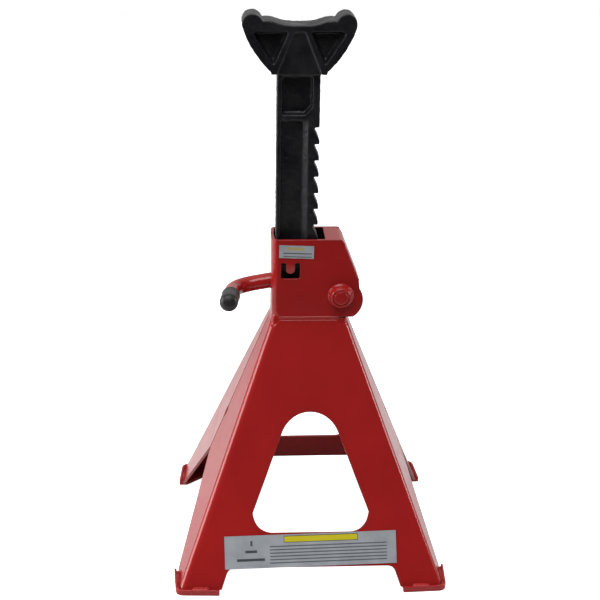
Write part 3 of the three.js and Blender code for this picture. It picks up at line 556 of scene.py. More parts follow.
def fill_points():
    """Interior points: wide apart on the flats, close together round the bends and across the fold."""
    fill = []
    # rows along the fold, for its two lines
    for z in np.arange(FOLD_Z - 4.32, FOLD_Z + 4.4, LINE_ROWS):
        edge = panel_edge(z)
        fill += [(edge * 0.98 * k / 16, z) for k in range(-16, 17)]
    # the whole sheet, row by row
    for level, z in enumerate(np.arange(LEG_BOTTOM + 1.5, TOWER_TOP - 1, SHEET_ROWS)):
        edge = panel_edge(z)
        end = seam_edge(z)
        folding = abs(z - FOLD_Z) < FOLD_BLEND + 2
        for k in range(-1, 9):
            fill += [(side * (edge + BEND_LENGTH * k / 7), z) for side in (-1, 1)]
        if folding or level % 3 == 0:
            spacing = FOLD_SPACING if folding else FLAT_SPACING
            half = max(2, int((edge - 2) / spacing))
            if abs(z - FOLD_Z) > 4.8:
                fill += [(edge * 0.96 * k / half, z) for k in range(-half, half + 1)]
            flange = np.arange(edge + BEND_LENGTH * 9.2 / 7, end, spacing)
            fill += [(side * s, z) for s in flange for side in (-1, 1)]
            if z > EAR_START_Z:
                fill += [(s, z) for s in np.arange(edge + 3, 56, spacing)]
    # a strip along the crease of each flange
    for offset in np.arange(7, 78, 2.5):
        for rise in np.arange(-3.6, 3.7, 1.2):
            z = crease_z(offset) + rise
            middle = panel_edge(z) + BEND_LENGTH * BEND_MIDDLE
            fill += [(side * (middle + offset), z) for side in (-1, 1)]
    # the tongue
    for z in np.arange(TONGUE_TIP_Z, TONGUE_ROOT_Z + 4, 1.3):
        fill += [(TONGUE_X + k * 1.3, z) for k in range(-3, 4)]
    # a patch round each pucker
    for z in np.arange(FOLD_Z - 6.5, FOLD_Z + 7, 0.9):
        middle = panel_edge(z) + BEND_LENGTH * BEND_MIDDLE
        fill += [(-(middle + k * 0.9), z + 0.01 * k) for k in range(-6, 7)]
        if z < EAR_START_Z - 1.5:
            fill += [(middle + k * 0.9, z + 0.01 * k) for k in range(-6, 7)]
    return np.array(fill)


def thinned(points, apart):
    """Drop points that crowd an earlier one."""
    kept = {}
    for p in points:
        cell = (round(p[0] / apart), round(p[1] / apart))
        near = [kept.get((cell[0] + i, cell[1] + j)) for i in (-1, 0, 1) for j in (-1, 0, 1)]
        if all(q is None or hypot(q[0] - p[0], q[1] - p[1]) > apart for q in near):
            kept[cell] = p
    return np.array(list(kept.values()))


def sheet_mesh(name, outer_loop, holes, surface, plain, mirrored):
    """A closed sheet with rounded rims.

    Both faces come from one triangulation and are joined by rows round every opening. The outer one follows
    surface, and the inner one lies a sheet's thickness behind plain.
    """
    loops = [counter_clockwise(outer_loop)] + [counter_clockwise(h)[::-1] for h in holes]
    inward = [left_normals(loop) for loop in loops]
    inset = [loop + normal * EDGE for loop, normal in zip(loops, inward)]
    fill = thinned(fill_points(), CLOSEST)
    fill = fill[inside(fill, inset)]
    fill = fill[clearance(fill, inset) > RIM_CLEAR]
    rim = np.vstack(inset)
    flat = np.vstack([rim, fill])
    links = []
    for loop in inset:
        ids = range(len(links), len(links) + len(loop))
        links += zip(ids, [*ids[1:], ids[0]])
    result = geometry.delaunay_2d_cdt([Vector(p) for p in flat], links, [], 0, 1e-6)
    out_of = [ids[0] for ids in result[3]]
    triangles = np.array([[out_of[i] for i in face] for face in result[2]])
    centres = flat[triangles].mean(1)
    triangles = triangles[inside(centres, inset)]

    s, z = flat[:, 0], flat[:, 1]
    normal = sheet_normal(surface, s, z)
    outer = surface(s, z)
    count, rim_count = len(flat), len(rim)
    plain_normal = sheet_normal(plain, s, z)
    rows = [outer, plain(s, z) - plain_normal * SHEET]
    normals = [normal, -plain_normal]
    edge_loops = np.vstack(loops)
    edge_inward = np.vstack(inward)
    travel = unit(np.vstack([np.roll(loop, -1, axis=0) - np.roll(loop, 1, axis=0) for loop in loops]))
    rim_normal = normal[:rim_count]
    step = 0.05
    forward = surface(rim[:, 0] + travel[:, 0] * step, rim[:, 1] + travel[:, 1] * step) - outer[:rim_count]
    outward = unit(np.cross(forward, rim_normal))
    rim_rows = [(HALF_TURN, EDGE * HALF_TURN, 1), (0, EDGE, 0)]
    rim_rows += [(0, SHEET - EDGE, 0), (HALF_TURN, SHEET - EDGE * HALF_TURN, -1)]
    for offset, down, tilt in rim_rows:
        at = edge_loops + edge_inward * EDGE * offset
        here_normal = sheet_normal(surface, at[:, 0], at[:, 1])
        rows.append(surface(at[:, 0], at[:, 1]) - here_normal * down)
        normals.append(unit(outward + rim_normal * tilt))
    points = np.vstack(rows)
    all_normals = np.vstack(normals)
    worn = np.concatenate([np.zeros(2 * count), np.ones(4 * rim_count)])
    worn[:rim_count] = 0.6
    worn[count : count + rim_count] = 0.6

    # painted shade: the inner face darkens towards the top of the tower, standing in for the shade inside
    # it
    painted_shade_level = np.zeros(len(points))
    painted_shade_level[count : 2 * count] = np.clip((z - INSIDE_SHADE_START_Z) / INSIDE_SHADE_RUN, 0, 1)

    faces = [tuple(t) for t in triangles]
    faces += [tuple(int(i) + count for i in t[::-1]) for t in triangles]
    ladder = [0] + [2 * count + k * rim_count for k in range(4)] + [count]
    for i, j in links:
        for upper, lower in zip(ladder, ladder[1:]):
            faces.append((upper + i, lower + i, lower + j, upper + j))
    if mirrored:
        points = points * (1, -1, 1)
        all_normals = all_normals * (1, -1, 1)
        faces = [face[::-1] for face in faces]
    mesh = mesh_from(name, points, faces)
    for key, values in (("wear", worn), ("painted_shade_inside", painted_shade_level)):
        mesh.attributes.new(key, "FLOAT", "POINT").data.foreach_set("value", values)
    mesh.normals_split_custom_set_from_vertices([tuple(n) for n in all_normals])
    return mesh


# ---- round and swept pieces ----
def ring_mesh(name, points, rings):
    """Join rings of point numbers, the last to the first; a ring that repeats one point closes to a fan."""
    faces = []
    for low, high in zip(rings, rings[1:] + rings[:1]):
        for k in range(len(low)):
            j = (k + 1) % len(low)
            face = list(dict.fromkeys((low[k], low[j], high[j], high[k])))
            if len(face) > 2:
                faces.append(face)
    return closed_mesh(name, points, faces)


def lathe_mesh(name, profile, centre, axis, sides=72):
    """Turn (radius, height) points round an axis; the profile closes on itself or on the axis."""
    turn = Vector((0, 0, 1)).rotation_difference(Vector(axis).normalized())
    points, rings = [], []
    for radius, height in profile:
        if radius < 1e-6:
            rings.append([len(points)] * sides)
            points.append(Vector((0, 0, height)))
            continue
        rings.append(list(range(len(points), len(points) + sides)))
        for k in range(sides):
            angle = 2 * pi * k / sides
            points.append(Vector((radius * cos(angle), radius * sin(angle), height)))
    return ring_mesh(name, [turn @ p + Vector(centre) for p in points], rings)


def fillet_profile(points, steps=5):
    """Round the corners of an open profile given as (radius, height, fillet)."""
    path = []
    for i, (r, h, fillet) in enumerate(points):
        if fillet <= 0 or i in (0, len(points) - 1):
            path.append((r, h))
            continue
        here = Vector((r, h))
        back = Vector(points[i - 1][:2]) - here
        on = Vector(points[i + 1][:2]) - here
        a = here + back.normalized() * min(fillet, back.length * 0.49)
        b = here + on.normalized() * min(fillet, on.length * 0.49)
        for k in range(steps + 1):
            path.append(tuple(bezier(a, here, b, k / steps)))
    return path


def sweep_mesh(name, centres, radii, sides=48, flatten=1):
    """A closed tube along a path, with its own radius at each point and flat ends."""
    points, rings = [], []
    normal = Vector((0, 0, 1))
    for i, centre in enumerate(centres):
        before = centres[max(i - 1, 0)]
        after = centres[min(i + 1, len(centres) - 1)]
        tangent = (after - before).normalized()
        normal = (normal - tangent * normal.dot(tangent)).normalized()
        side = tangent.cross(normal)
        rings.append(list(range(len(points), len(points) + sides)))
        for k in range(sides):
            angle = 2 * pi * k / sides
            up = radii[i] * sin(angle) * flatten
            points.append(centre + side * radii[i] * cos(angle) + normal * up)
    hub = len(points)
    rings = [[hub] * sides] + rings + [[hub + 1] * sides]
    return ring_mesh(name, points + [centres[0], centres[-1]], rings)


def prism_mesh(name, outline, y0, y1, inset=0.0):
    """A prism along Y from an (x, z) outline; inset shrinks its y1 end, for the draft of a cast pocket."""
    loop = counter_clockwise(np.array(outline))
    far = loop + left_normals(loop) * inset
    count = len(loop)
    points = [(x, y0, z) for x, z in loop] + [(x, y1, z) for x, z in far]
    faces = [tuple(range(count)), tuple(range(2 * count - 1, count - 1, -1))]
    faces += [(i, count + i, count + (i + 1) % count, (i + 1) % count) for i in range(count)]
    return closed_mesh(name, points, faces)


# ---- the ratchet bar ----
def rack_outline():
    left, tip = BAR_X - BAR_HALF_W, BAR_X + BAR_HALF_W
    root = tip - TOOTH_DEPTH
    points = [(left + 3, BAR_BOTTOM), (tip - 3, BAR_BOTTOM), (tip, BAR_BOTTOM + 5)]
    for k in range(-3, 10):
        ledge = LEDGE_Z + k * PITCH
        points += [(tip, ledge - TOOTH_HEIGHT), (root, ledge - TOOTH_ROOT), (root, ledge), (tip, ledge)]
    return points + [(tip, SADDLE_BOTTOM + 5), (left, SADDLE_BOTTOM + 5), (left, BAR_BOTTOM + 5)]


def saddle_outline():
    """Two horns with a shallow cradle between them, on flanks that curve in to the bar."""
    horn = [p[:2] for p in arc((HORN_X, HORN_Z), HORN_RADIUS, HORN_OUT, HORN_IN, 22)]
    right = [(SADDLE_BOTTOM_HALF, SADDLE_BOTTOM)]
    right += curve((SADDLE_BOTTOM_HALF, SADDLE_BOTTOM + 2), SADDLE_FLANK, horn[0])
    right += horn[1:]
    right += curve(horn[-1], (33.6, SHOULDER_Z - 0.6), (31.4, SHOULDER_Z))[1:]
    right += curve((25.5, SHOULDER_Z), (17.0, CRADLE_Z), (5.0, CRADLE_Z))[1:]
    left = [(-x, z) for x, z in reversed(right)]
    return [(BAR_X + x, z) for x, z in right + left]


def cut(mesh, cutters):
    """The mesh with each cutter's volume taken away."""
    operands = [linked("cutter", cutter) for cutter in cutters]
    taking = {"operation": "DIFFERENCE", "solver": "MANIFOLD"}
    result = evaluated(mesh, *(("BOOLEAN", {**taking, "object": operand}) for operand in operands))
    for operand in operands:
        bpy.data.objects.remove(operand)
    return result


def pocket(corners, face, depth, draft):
    """Cutter for a cast pocket in a face of the bar; corners are (x from its middle, z, radius)."""
    outline = round_path([(BAR_X + x, z, r) for x, z, r in corners], step=4)
    outward = -1 if depth > 0 else 1
    return prism_mesh("pocket", outline, face + outward, face + depth, draft)


def joined(name, *meshes):
    work = bmesh.new()
    for mesh in meshes:
        work.from_mesh(mesh)
    out = bpy.data.meshes.new(name)
    work.to_mesh(out)
    work.free()
    return out


def cast_surface(mesh, rough, fine):
    """Push each point along its normal by noise, for the skin of a sand casting."""
    co, no = np.zeros((2, len(mesh.vertices) * 3))
    mesh.vertices.foreach_get("co", co)
    mesh.vertices.foreach_get("normal", no)
    co, no = co.reshape(-1, 3), no.reshape(-1, 3)
    lift = np.zeros(len(co))
    for i, p in enumerate(co):
        p = Vector(p) / MM
        lift[i] = rough * noise.noise(p / 4.5) + fine * noise.noise(p / 1.7 + Vector((31, 7, 3)))
    co += no * (lift * MM)[:, None]
    mesh.vertices.foreach_set("co", co.ravel())
    mesh.update()


def ratchet_bar_mesh():
    bar = prism_mesh("rack", rack_outline(), BAR_FRONT, BAR_BACK)
    section = [(BAR_X + x, BAR_FRONT + y) for x, y in CHANNEL]
    channel = prism_mesh("channel", section, CHANNEL_BOTTOM, CHANNEL_TOP)
    y_and_z_swapped = Matrix(((1, 0, 0, 0), (0, 0, 1, 0), (0, 1, 0, 0), (0, 0, 0, 1)))
    channel.transform(y_and_z_swapped)
    channel.flip_normals()
    top = SADDLE_BOTTOM - 2
    low = POCKET_BOTTOM
    corners = [(-15.6, low, 3), (6, low, 3), (13.4, low + 7, 3), (13.4, top, 4), (-15.6, top, 4)]
    upper = pocket(corners, BAR_FRONT, POCKET_DEPTH, POCKET_DRAFT)
    low = BACK_POCKET_BOTTOM
    corners = [(-14, low, 4), (9, low, 4), (9, top, 4), (-14, top, 4)]
    back = pocket(corners, BAR_BACK, -BACK_DEPTH, BACK_DRAFT)
    bar = cut(bar, [channel, upper, back])
    saddle = prism_mesh("saddle", saddle_outline(), SADDLE_FRONT, SADDLE_BACK)
    pockets = []
    for face, into in ((SADDLE_FRONT, 1), (SADDLE_BACK, -1)):
        for side in (-1, 1):
            corners = [(side * x, z, radius) for x, z, radius in SIDE_POCKET]
            pockets.append(pocket(corners, face, into * SIDE_DEPTH, SIDE_DRAFT))
        pockets.append(pocket(MIDDLE_PANEL, face, into * MIDDLE_DEPTH, MIDDLE_DRAFT))
    saddle = cut(saddle, pockets)
    whole = evaluated(
        joined("ratchet_bar", bar, saddle),
        ("REMESH", {"mode": "VOXEL", "voxel_size": VOXEL * MM, "use_smooth_shade": True}),
        ("SMOOTH", {"factor": 0.5, "iterations": 5}),
    )
    cast_surface(whole, CAST_ROUGH, CAST_FINE)
    return whole


# ---- handle, labels, welds ----
def rod_z(x):
    """Height of the rod's centre line before its bend."""
    return ROD_REF[1] + (x - ROD_REF[0]) * ROD_SLOPE


ROD_CORNER = Vector((ROD_BEND_X, ROD_Y, rod_z(ROD_BEND_X)))
GRIP_AXIS = (GRIP_END - ROD_CORNER).normalized()
ROD_END = ROD_CORNER.lerp(GRIP_END, 0.93)


def handle_rod_mesh():
    start = Vector((ROD_START_X, ROD_Y, rod_z(ROD_START_X)))
    bend_x = ROD_BEND_X + ROD_BEND_REACH
    bend_in = Vector((bend_x, ROD_Y, rod_z(bend_x)))
    bend_out = ROD_CORNER + GRIP_AXIS * ROD_BEND_REACH
    path = [start.lerp(bend_in, k / 24) for k in range(24)]
    path += [bezier(bend_in, ROD_CORNER, bend_out, t) for t in shares(24)]
    path += [bend_out.lerp(ROD_END, (k + 1) / 14) for k in range(14)]
    radii = [ROD_RADIUS] * len(path)
    radii[0] = radii[-1] = ROD_RADIUS - 0.6
    path.insert(1, path[0].lerp(path[1], 0.2))
    radii.insert(1, ROD_RADIUS)
    path.insert(-1, path[-2].lerp(path[-1], 0.8))
    radii.insert(-1, ROD_RADIUS)
    return sweep_mesh("handle_rod", path, radii)


def handle_grip_mesh():
    start = ROD_CORNER + GRIP_AXIS * ((ROD_Y - GRIP_START_Y) / -GRIP_AXIS.y)
    length = (GRIP_END - start).length
    bottom = (ROD_END - start).dot(GRIP_AXIS) + 0.3
    bore = ROD_RADIUS + 0.25
    profile = [(bore, 0.5), (bore + 0.25, 0), (GRIP_RADIUS + 0.1, 0), (GRIP_RADIUS + 0.35, 0.6)]
    profile += [(GRIP_RADIUS + 0.3, 1.6), (GRIP_RADIUS - 0.05, 2.6), (GRIP_RADIUS, length * 0.5)]
    profile += [(GRIP_RADIUS + 0.08, length - GRIP_DOME)]
    for k in range(1, 15):
        angle = pi / 2 * k / 14
        radius = GRIP_RADIUS * cos(angle) ** 0.9 if k < 14 else 0
        profile.append((radius, length - GRIP_DOME + GRIP_DOME * sin(angle)))
    profile += [(0, bottom), (bore, bottom)]
    return lathe_mesh("handle_grip", profile, start, GRIP_AXIS, 64)


def bead_mesh(name, start, end, radius, flatten, seed):
    """A weld bead: overlapping ripples that swell and sink a little along the run."""
    steps = 64
    centres, radii = [], []
    length = (end - start).length
    for k in range(steps + 1):
        t = k / steps
        wander = noise.noise(Vector((t * 5, seed, 0)))
        taper = sqrt(max(0.02, 1 - abs(2 * t - 1) ** 5))
        ripple = 1 + 0.09 * abs(sin(pi * t * length / 1.9)) + 0.1 * wander
        centres.append(start.lerp(end, t) + Vector((0, 0, 0.2 * wander)))
        radii.append(radius * taper * ripple)
    return sweep_mesh(name, centres, radii, 20, flatten)


def label_mesh(name, corners, normal):
    """A thin foil with UVs across its face, on four corners: lower left first, counter-clockwise."""
    columns, rows = 48, 8
    a, b, c, d = corners
    grid = [(u, v) for v in shares(rows) for u in shares(columns)]
    points, faces = [], []
    for layer in (0, 1):
        for u, v in grid:
            ripple = 0.05 * noise.noise(Vector((u * 9, v * 2, 4)))
            points.append(a.lerp(b, u).lerp(d.lerp(c, u), v) + normal * (FOIL * layer + ripple))
    stride = columns + 1
    for q in (j * stride + i for j in range(rows) for i in range(columns)):
        quad = (q, q + 1, q + stride + 1, q + stride)
        faces += [tuple(v + len(grid) for v in quad), quad[::-1]]
    border = list(range(columns))
    border += [columns + j * stride for j in range(rows)]
    border += [rows * stride + i for i in range(columns, 0, -1)]
    border += [j * stride for j in range(rows, 0, -1)]
    for q, r in zip(border, border[1:] + border[:1]):
        faces.append((q, r, r + len(grid), q + len(grid)))
    mesh = mesh_from(name, points, faces, smooth=False)
    layer = mesh.uv_layers.new(name="UVMap")
    for loop in mesh.loops:
        layer.data[loop.index].uv = grid[loop.vertex_index % len(grid)]
    return mesh


# ---- materials; colours are linear ----
class Look:
    """A node tree that is being built, and the shader that its results feed."""

    def __init__(self, owner, shader, **sockets):
        owner.use_nodes = True
        self.tree = owner.node_tree
        self.shader = self.tree.nodes[shader]
        self.feed(**sockets)

    def feed(self, **sockets):
        """Set or link the shader's own sockets, given by name with _ for a space."""
        for key, value in sockets.items():
            self.connect(self.shader.inputs[key.replace("_", " ")], value)

    def connect(self, socket, value):
        if isinstance(value, bpy.types.NodeSocket):
            self.tree.links.new(value, socket)
        else:
            socket.default_value = value

    def node(self, kind, inputs=None, **settings):
        made = self.tree.nodes.new("ShaderNode" + kind)
        for key, value in settings.items():
            setattr(made, key, value)
        for key, value in (inputs or {}).items():
            self.connect(made.inputs[key], value)
        return made.outputs

    def coords(self, kind="Object"):
        return self.node("TexCoord")[kind]

    def carried(self, name):
        """A value that the mesh carries at its points; 0 where it has none."""
        return self.node("Attribute", attribute_name=name)["Fac"]

    def math(self, operation, first, second):
        return self.node("Math", {0: first, 1: second}, operation=operation)[0]

    def noise(self, per_metre, detail=3.0, roughness=0.55, at=None):
        inputs = {"Scale": per_metre, "Detail": detail, "Roughness": roughness}
        return self.node("TexNoise", {"Vector": at or self.coords(), **inputs})["Fac"]

    def ranged(self, value, from_low, from_high, to_low=0, to_high=1):
        inputs = {"Value": value, 1: from_low, 2: from_high, 3: to_low, 4: to_high}
        return self.node("MapRange", inputs)["Result"]

    def mixed(self, factor, first, second):
        """A mix of two colours, each a socket or a plain (r, g, b)."""
        first, second = ((*c, 1) if isinstance(c, tuple) else c for c in (first, second))
        return self.node("Mix", {0: factor, 6: first, 7: second}, data_type="RGBA")[2]

    def bump(self, height, strength, distance_mm, before=None):
        inputs = {"Height": height, "Strength": strength, "Distance": distance_mm * MM}
        if before is not None:
            inputs["Normal"] = before
        out = self.node("Bump", inputs)["Normal"]
        self.feed(Normal=out)
        return out

    def band(self, value, low, high):
        above = self.math("GREATER_THAN", value, low)
        return self.math("MULTIPLY", above, self.math("LESS_THAN", value, high))

    def box(self, u, v, u_range, v_range):
        return self.math("MULTIPLY", self.band(u, *u_range), self.band(v, *v_range))


def new_material(name, **sockets):
    mat = bpy.data.materials.new(name)
    return mat, Look(mat, "Principled BSDF", **sockets)


def red_enamel(name="red_enamel", shade=1.0):
    """Glossy enamel: slight orange peel, cloudy tone, darker at sheared edges, and painted shade in near
    black on the inner face high in the tower.
    """
    mat, look = new_material(name, IOR=1.42)
    cloud = look.ranged(look.noise(16, 4), 0.3, 0.7)
    deep = (0.285 * shade, 0.0105 * shade, 0.0105 * shade)
    bright = (0.335 * shade, 0.0130 * shade, 0.0125 * shade)
    tone = look.mixed(cloud, deep, bright)
    speck = look.ranged(look.noise(900, 2), 0.62, 0.74, 0, 0.35)
    tone = look.mixed(speck, tone, (0.25 * shade, 0.009, 0.009))
    worn = look.math("MULTIPLY", look.carried("wear"), look.noise(420, 3))
    tone = look.mixed(worn, tone, (0.20 * shade, 0.014, 0.013))
    # painted shade: a near-black tone where the inner face lies in the tower's shade
    painted_shade_tone = look.mixed(cloud, (0.010, 0.006, 0.006), (0.022, 0.010, 0.010))
    tone = look.mixed(look.carried("painted_shade_inside"), tone, painted_shade_tone)
    look.feed(Base_Color=tone, Roughness=look.ranged(look.noise(60, 4), 0.3, 0.7, 0.13, 0.2))
    peel = look.bump(look.noise(420, 1), 0.008, 0.25)
    look.bump(look.noise(40, 1), 0.006, 1.0, peel)
    return "red_enamel", mat


def black_casting():
    """Black paint over a sand casting: pitted skin, uneven sheen, a little dust."""
    mat, look = new_material("black_casting", IOR=1.42)
    patch = look.noise(55, 4)
    tone = look.mixed(look.ranged(patch, 0.35, 0.65), (0.003, 0.003, 0.0045), (0.007, 0.007, 0.0085))
    dust = look.ranged(look.noise(1400, 3), 0.6, 0.75, 0, 0.5)
    tone = look.mixed(dust, tone, (0.028, 0.028, 0.027))
    look.feed(Base_Color=tone, Roughness=look.ranged(patch, 0.3, 0.7, 0.30, 0.50))
    coarse = look.bump(look.noise(260, 4, 0.6), 0.5, 0.6)
    look.bump(look.noise(700, 5, 0.65), 0.6, 0.4, coarse)
    return "black_casting", mat


def bare_steel():
    """Oiled steel with turning marks."""
    mat, look = new_material("bare_steel", Metallic=1.0)
    stretched = look.node("Mapping", {"Vector": look.coords(), "Scale": (1, 14, 1)})["Vector"]
    streak = look.noise(300, 4, 0.6, stretched)
    tone = look.mixed(look.ranged(streak, 0.3, 0.7), (0.22, 0.21, 0.2), (0.42, 0.41, 0.4))
    look.feed(Base_Color=tone, Roughness=look.ranged(streak, 0.3, 0.7, 0.3, 0.5))
    look.bump(streak, 0.15, 0.1)
    return "bare_steel", mat


def black_vinyl():
    """Dipped vinyl with a satin skin, fine grain and a few handling marks."""
    mat, look = new_material("black_vinyl", IOR=1.42, Sheen_Weight=0.03, Sheen_Roughness=0.5)
    patch = look.noise(120, 4)
    tone = look.mixed(look.ranged(patch, 0.3, 0.7), (0.008, 0.008, 0.009), (0.015, 0.015, 0.016))
    scuff = look.ranged(look.noise(520, 5, 0.7), 0.6, 0.72, 0, 0.5)
    tone = look.mixed(scuff, tone, (0.05, 0.05, 0.05))
    look.feed(Base_Color=tone, Roughness=look.ranged(patch, 0.3, 0.7, 0.36, 0.52))
    look.bump(look.noise(1100, 3), 0.12, 0.2)
    return "black_vinyl", mat


def label_foil(name, band, rules, bars):
    """Silver foil with a plain coloured band, plain ruled lines and plain bars; no lettering."""
    mat, look = new_material(name, Metallic=0.15, IOR=1.5)
    u, v = look.node("SeparateXYZ", {0: look.coords("UV")})[:2]
    cloud = look.ranged(look.noise(70, 4), 0.3, 0.7)
    tone = look.mixed(cloud, (0.30, 0.325, 0.35), (0.38, 0.405, 0.435))
    phase = look.math("MODULO", v, rules["pitch"])
    line = look.band(phase, rules["pitch"] * 0.25, rules["pitch"] * 0.62)
    ink = look.math("MULTIPLY", line, look.box(u, v, rules["u"], rules["v"]))
    tone = look.mixed(look.math("MULTIPLY", ink, 0.8), tone, (0.05, 0.055, 0.06))
    for u_range, v_range in bars:
        tone = look.mixed(look.box(u, v, u_range, v_range), tone, (0.06, 0.065, 0.07))
    edge_u, edge_v = band["edge"]
    inner_u = (band["u"][0] + edge_u, band["u"][1] - edge_u)
    inner_v = (band["v"][0] + edge_v, band["v"][1] - edge_v)
    tone = look.mixed(look.box(u, v, band["u"], band["v"]), tone, (0.05, 0.05, 0.02))
    tone = look.mixed(look.box(u, v, inner_u, inner_v), tone, band["colour"])
    look.feed(Base_Color=tone, Roughness=look.ranged(cloud, 0, 1, 0.30, 0.42))
    look.bump(look.noise(240, 3), 0.05, 0.2)
    return "label_foil", mat


# ---- build ----
def build_halves(paint):
    outer, inner = with_tongue(pressed_surface), with_tongue(bare_surface)
    holes = [arch_loop(), window_loop(), pin_hole_loop()]
    front = sheet_mesh("front_frame_half", outline_loop(False), holes, outer, inner, False)
    put("front_half", front, "stand", paint, "front_frame_half")
    holes = [arch_loop(), pin_hole_loop()]
    back = sheet_mesh("back_frame_half", outline_loop(True), holes, pressed_surface, bare_surface, True)
    put("back_half", back, "stand", paint, "back_frame_half")


def build_pivot(paint):
    wall = TOWER_HALF_D + GAP
    profile = fillet_profile(COLLAR)[:-1]
    for end, side in (("front", -1), ("back", 1)):
        mesh = lathe_mesh(f"pivot_collar_{end}", profile, (PIVOT_X, side * wall, PIVOT_Z), (0, side, 0))
        put(f"collar_{end}", mesh, "stand", paint, f"pivot_collar_{end}")
    half = PIN_HALF_LENGTH
    pin = [(0, -half, 0), (PIN_RADIUS, -half, PIN_ROUND), (PIN_RADIUS, half, PIN_ROUND), (0, half, 0)]
    mesh = lathe_mesh("pivot_pin", fillet_profile(pin), (PIVOT_X, 0, PIVOT_Z), (0, 1, 0))
    put("pin", mesh, "stand", paint, "pivot_pin")


def foot_bead(weld, kind, seed):
    """A bead along the middle of a CAD weld: across the stand for an end lip, along it for a side lip."""
    low, high = (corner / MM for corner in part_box(weld))
    across = 0 if kind == "end" else 1
    reach = Vector((0, 0, 0))
    reach[across] = (high[across] - low[across]) / 2 + FOOT_BEAD_OVERRUN
    middle = (low + high) / 2 - Vector((0, 0, FOOT_BEAD_SUNK[kind]))
    return bead_mesh(weld, middle - reach, middle + reach, *FOOT_BEAD, seed)


def build_feet(paint, bead_paint):
    for end in ("front", "back"):
        for side in ("left", "right"):
            foot = f"{end}_{side}_foot"
            put(f"foot_{end}_{side}", softened(foot, 0.7), "stand", paint, foot)
            for seed, kind in enumerate(("end", "side")):
                weld = f"{foot}_weld_{kind}"
                mesh = foot_bead(weld, kind, seed + len(foot))
                put(f"weld_{end}_{side}_{kind}", mesh, "stand", bead_paint, weld)


def build_cover_and_guides(paint):
    for name, width in (("pawl_cover", 0.7), ("bar_guide_lower", 0.5), ("bar_guide_upper", 0.6)):
        mesh = softened(name, width, 3, 40)
        if name == "pawl_cover":
            for vertex in mesh.vertices:
                if vertex.co.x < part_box(name)[0].x + 4 * MM:
                    vertex.co.x += COVER_TRIM * MM
        put(f"{name}_shape", mesh, "stand", paint, name)


def build_seams(paint):
    for side, sign in (("left", -1), ("right", 1)):
        name = f"{side}_seam_weld"
        low, high = (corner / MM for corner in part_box(name))
        near, far = (low, high) if sign < 0 else (high, low)
        inward = Vector((-sign * SEAM_BEAD_INSET, 0, 0))
        foot = Vector((near.x, 0, low.z)) + inward
        top = Vector((far.x, 0, high.z)) + inward
        mesh = bead_mesh(name, foot, top, *SEAM_BEAD, 5)
        put(f"seam_bead_{side}", mesh, "stand", paint, name)


def build_labels():
    middle_z = (STRAP_BOTTOM_Z + ARCH_BOTTOM_Z) / 2
    half_length, half_height = STRAP_LABEL_HALF
    turn, lean = radians(STRAP_LABEL_TURN), atan(PANEL_SLOPE)
    away = half_d(middle_z) + GAP / cos(lean)
    centre = Vector((STRAP_LABEL_X, -away, middle_z))
    along = Vector((cos(turn), sin(turn) * sin(lean), sin(turn) * cos(lean)))
    normal = Vector((0, -cos(lean), sin(lean)))
    up = normal.cross(along)
    corners = []
    for a, b in ((-1, -1), (1, -1), (1, 1), (-1, 1)):
        corners.append(centre + along * a * half_length + up * b * half_height)
    mesh = label_mesh("strap_label", corners, normal)
    foil = label_foil("strap_foil", **STRAP_PRINT)
    put("strap_foil", mesh, "stand", foil, "strap_label")
    corners = [Vector((x, -TOWER_HALF_D - GAP, z)) for x, z in TOWER_LABEL]
    mesh = label_mesh("tower_label", corners, Vector((0, -1, 0)))
    foil = label_foil("tower_foil", **TOWER_PRINT)
    put("tower_foil", mesh, "stand", foil, "tower_label")


def build_lever(paint, casting, vinyl, bead_paint):
    put("pawl_shape", softened("pawl", 0.6, 3, 40), "pawl_lever", casting, "pawl")
    put("rod", handle_rod_mesh(), "pawl_lever", paint, "handle_rod")
    put("grip", handle_grip_mesh(), "pawl_lever", vinyl, "handle_grip")
    ring = [(ROD_RADIUS + outside, along) for outside, along in ROD_WELD]
    x = ROD_START_X - 2.6
    mesh = lathe_mesh("handle_weld", ring, (x, ROD_Y, rod_z(x)), (1, 0, ROD_SLOPE))
    put("rod_weld", mesh, "pawl_lever", bead_paint, "handle_weld")


def build_spacers(steel):
    for end in ("front", "back"):
        name = f"pivot_spacer_{end}"
        put(f"spacer_{end}", softened(name, 0.3, 2, 40), "stand", steel, name)


# ---- floor, light and camera ----
def add_floor():
    """A pale floor that the camera sees as plain white."""
    mesh = bpy.data.meshes.new("floor")
    mesh.from_pydata([(x, y, -FLOOR_DROP) for x, y in FLOOR_CORNERS], [], [(0, 1, 2, 3)])
    mat, look = new_material("floor", Roughness=0.9, Specular_IOR_Level=0.1)
    seen = look.node("LightPath")["Is Camera Ray"]
    tone = (FLOOR_TONE, FLOOR_TONE, FLOOR_TONE, 1)
    look.feed(Base_Color=tone, Emission_Color=(1, 1, 1, 1), Emission_Strength=seen)
    mesh.materials.append(mat)
    linked("floor", mesh)


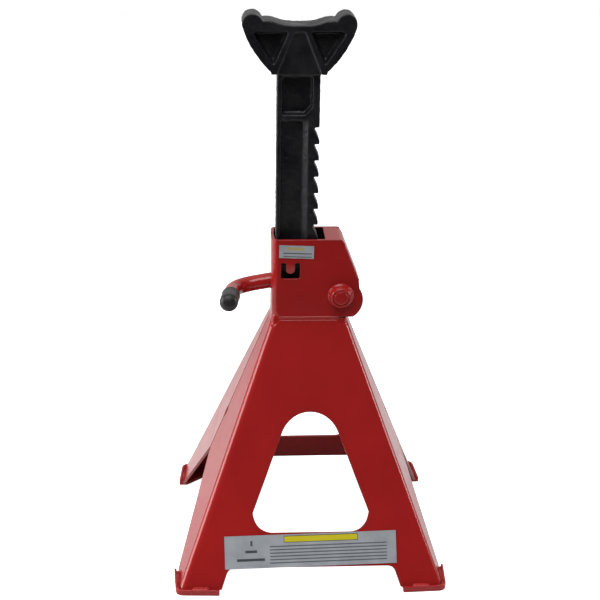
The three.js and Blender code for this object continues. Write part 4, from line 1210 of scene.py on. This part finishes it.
def add_world():
    """White behind and overhead, dim in front: grazing faces catch the light and the front stays deep."""
    world = bpy.data.worlds.new("studio")
    bpy.context.scene.world = world
    look = Look(world, "Background", Color=(1, 1, 1, 1))
    direction = look.node("SeparateXYZ", {0: look.coords("Generated")})
    back = look.ranged(direction[1], 0.3, 0.55, 0.05, 0.64)
    top = look.ranged(direction[2], 0.65, 0.95)
    seen = look.node("LightPath")["Is Camera Ray"]
    look.feed(Strength=look.math("MAXIMUM", look.math("MAXIMUM", back, top), seen))


def add_area(name, place, target, size, power):
    data = bpy.data.lights.new(name, "AREA")
    data.shape = "RECTANGLE"
    data.size, data.size_y = size
    data.energy = power
    light = linked(name, data)
    light.location = place
    light.rotation_euler = (Vector(target) - Vector(place)).to_track_quat("-Z", "Y").to_euler()


def add_camera():
    """The photograph's view: turned about the vertical, tipped down, and rolled a little."""
    yaw, pitch, roll = (radians(a) for a in (CAMERA_YAW, CAMERA_PITCH, CAMERA_ROLL))
    forward = Vector((sin(yaw) * cos(pitch), cos(yaw) * cos(pitch), -sin(pitch)))
    right = Vector((cos(yaw), -sin(yaw), 0))
    up = right.cross(forward)
    across = cos(roll) * right + sin(roll) * up
    upward = -sin(roll) * right + cos(roll) * up
    data = bpy.data.cameras.new("camera")
    data.sensor_width = SENSOR_MM
    data.lens = LENS_MM
    camera = linked("camera", data)
    rows = [(across[i], upward[i], -forward[i], CAMERA_PLACE[i]) for i in range(3)]
    camera.matrix_world = Matrix(rows + [(0, 0, 0, 1)])
    bpy.context.scene.camera = camera


def main():
    add_camera()
    paint = red_enamel()
    bead_paint = red_enamel("red_enamel_bead", 1.1)
    casting = black_casting()
    build_halves(paint)
    build_pivot(paint)
    build_feet(paint, bead_paint)
    build_cover_and_guides(paint)
    build_seams(paint)
    build_labels()
    put("bar", ratchet_bar_mesh(), "bar", casting, "ratchet_bar")
    build_lever(paint, casting, black_vinyl(), bead_paint)
    build_spacers(bare_steel())
    add_floor()
    add_world()
    for light in LIGHTS:
        add_area(*light)
    bpy.context.scene.view_settings.view_transform = "Standard"


main()
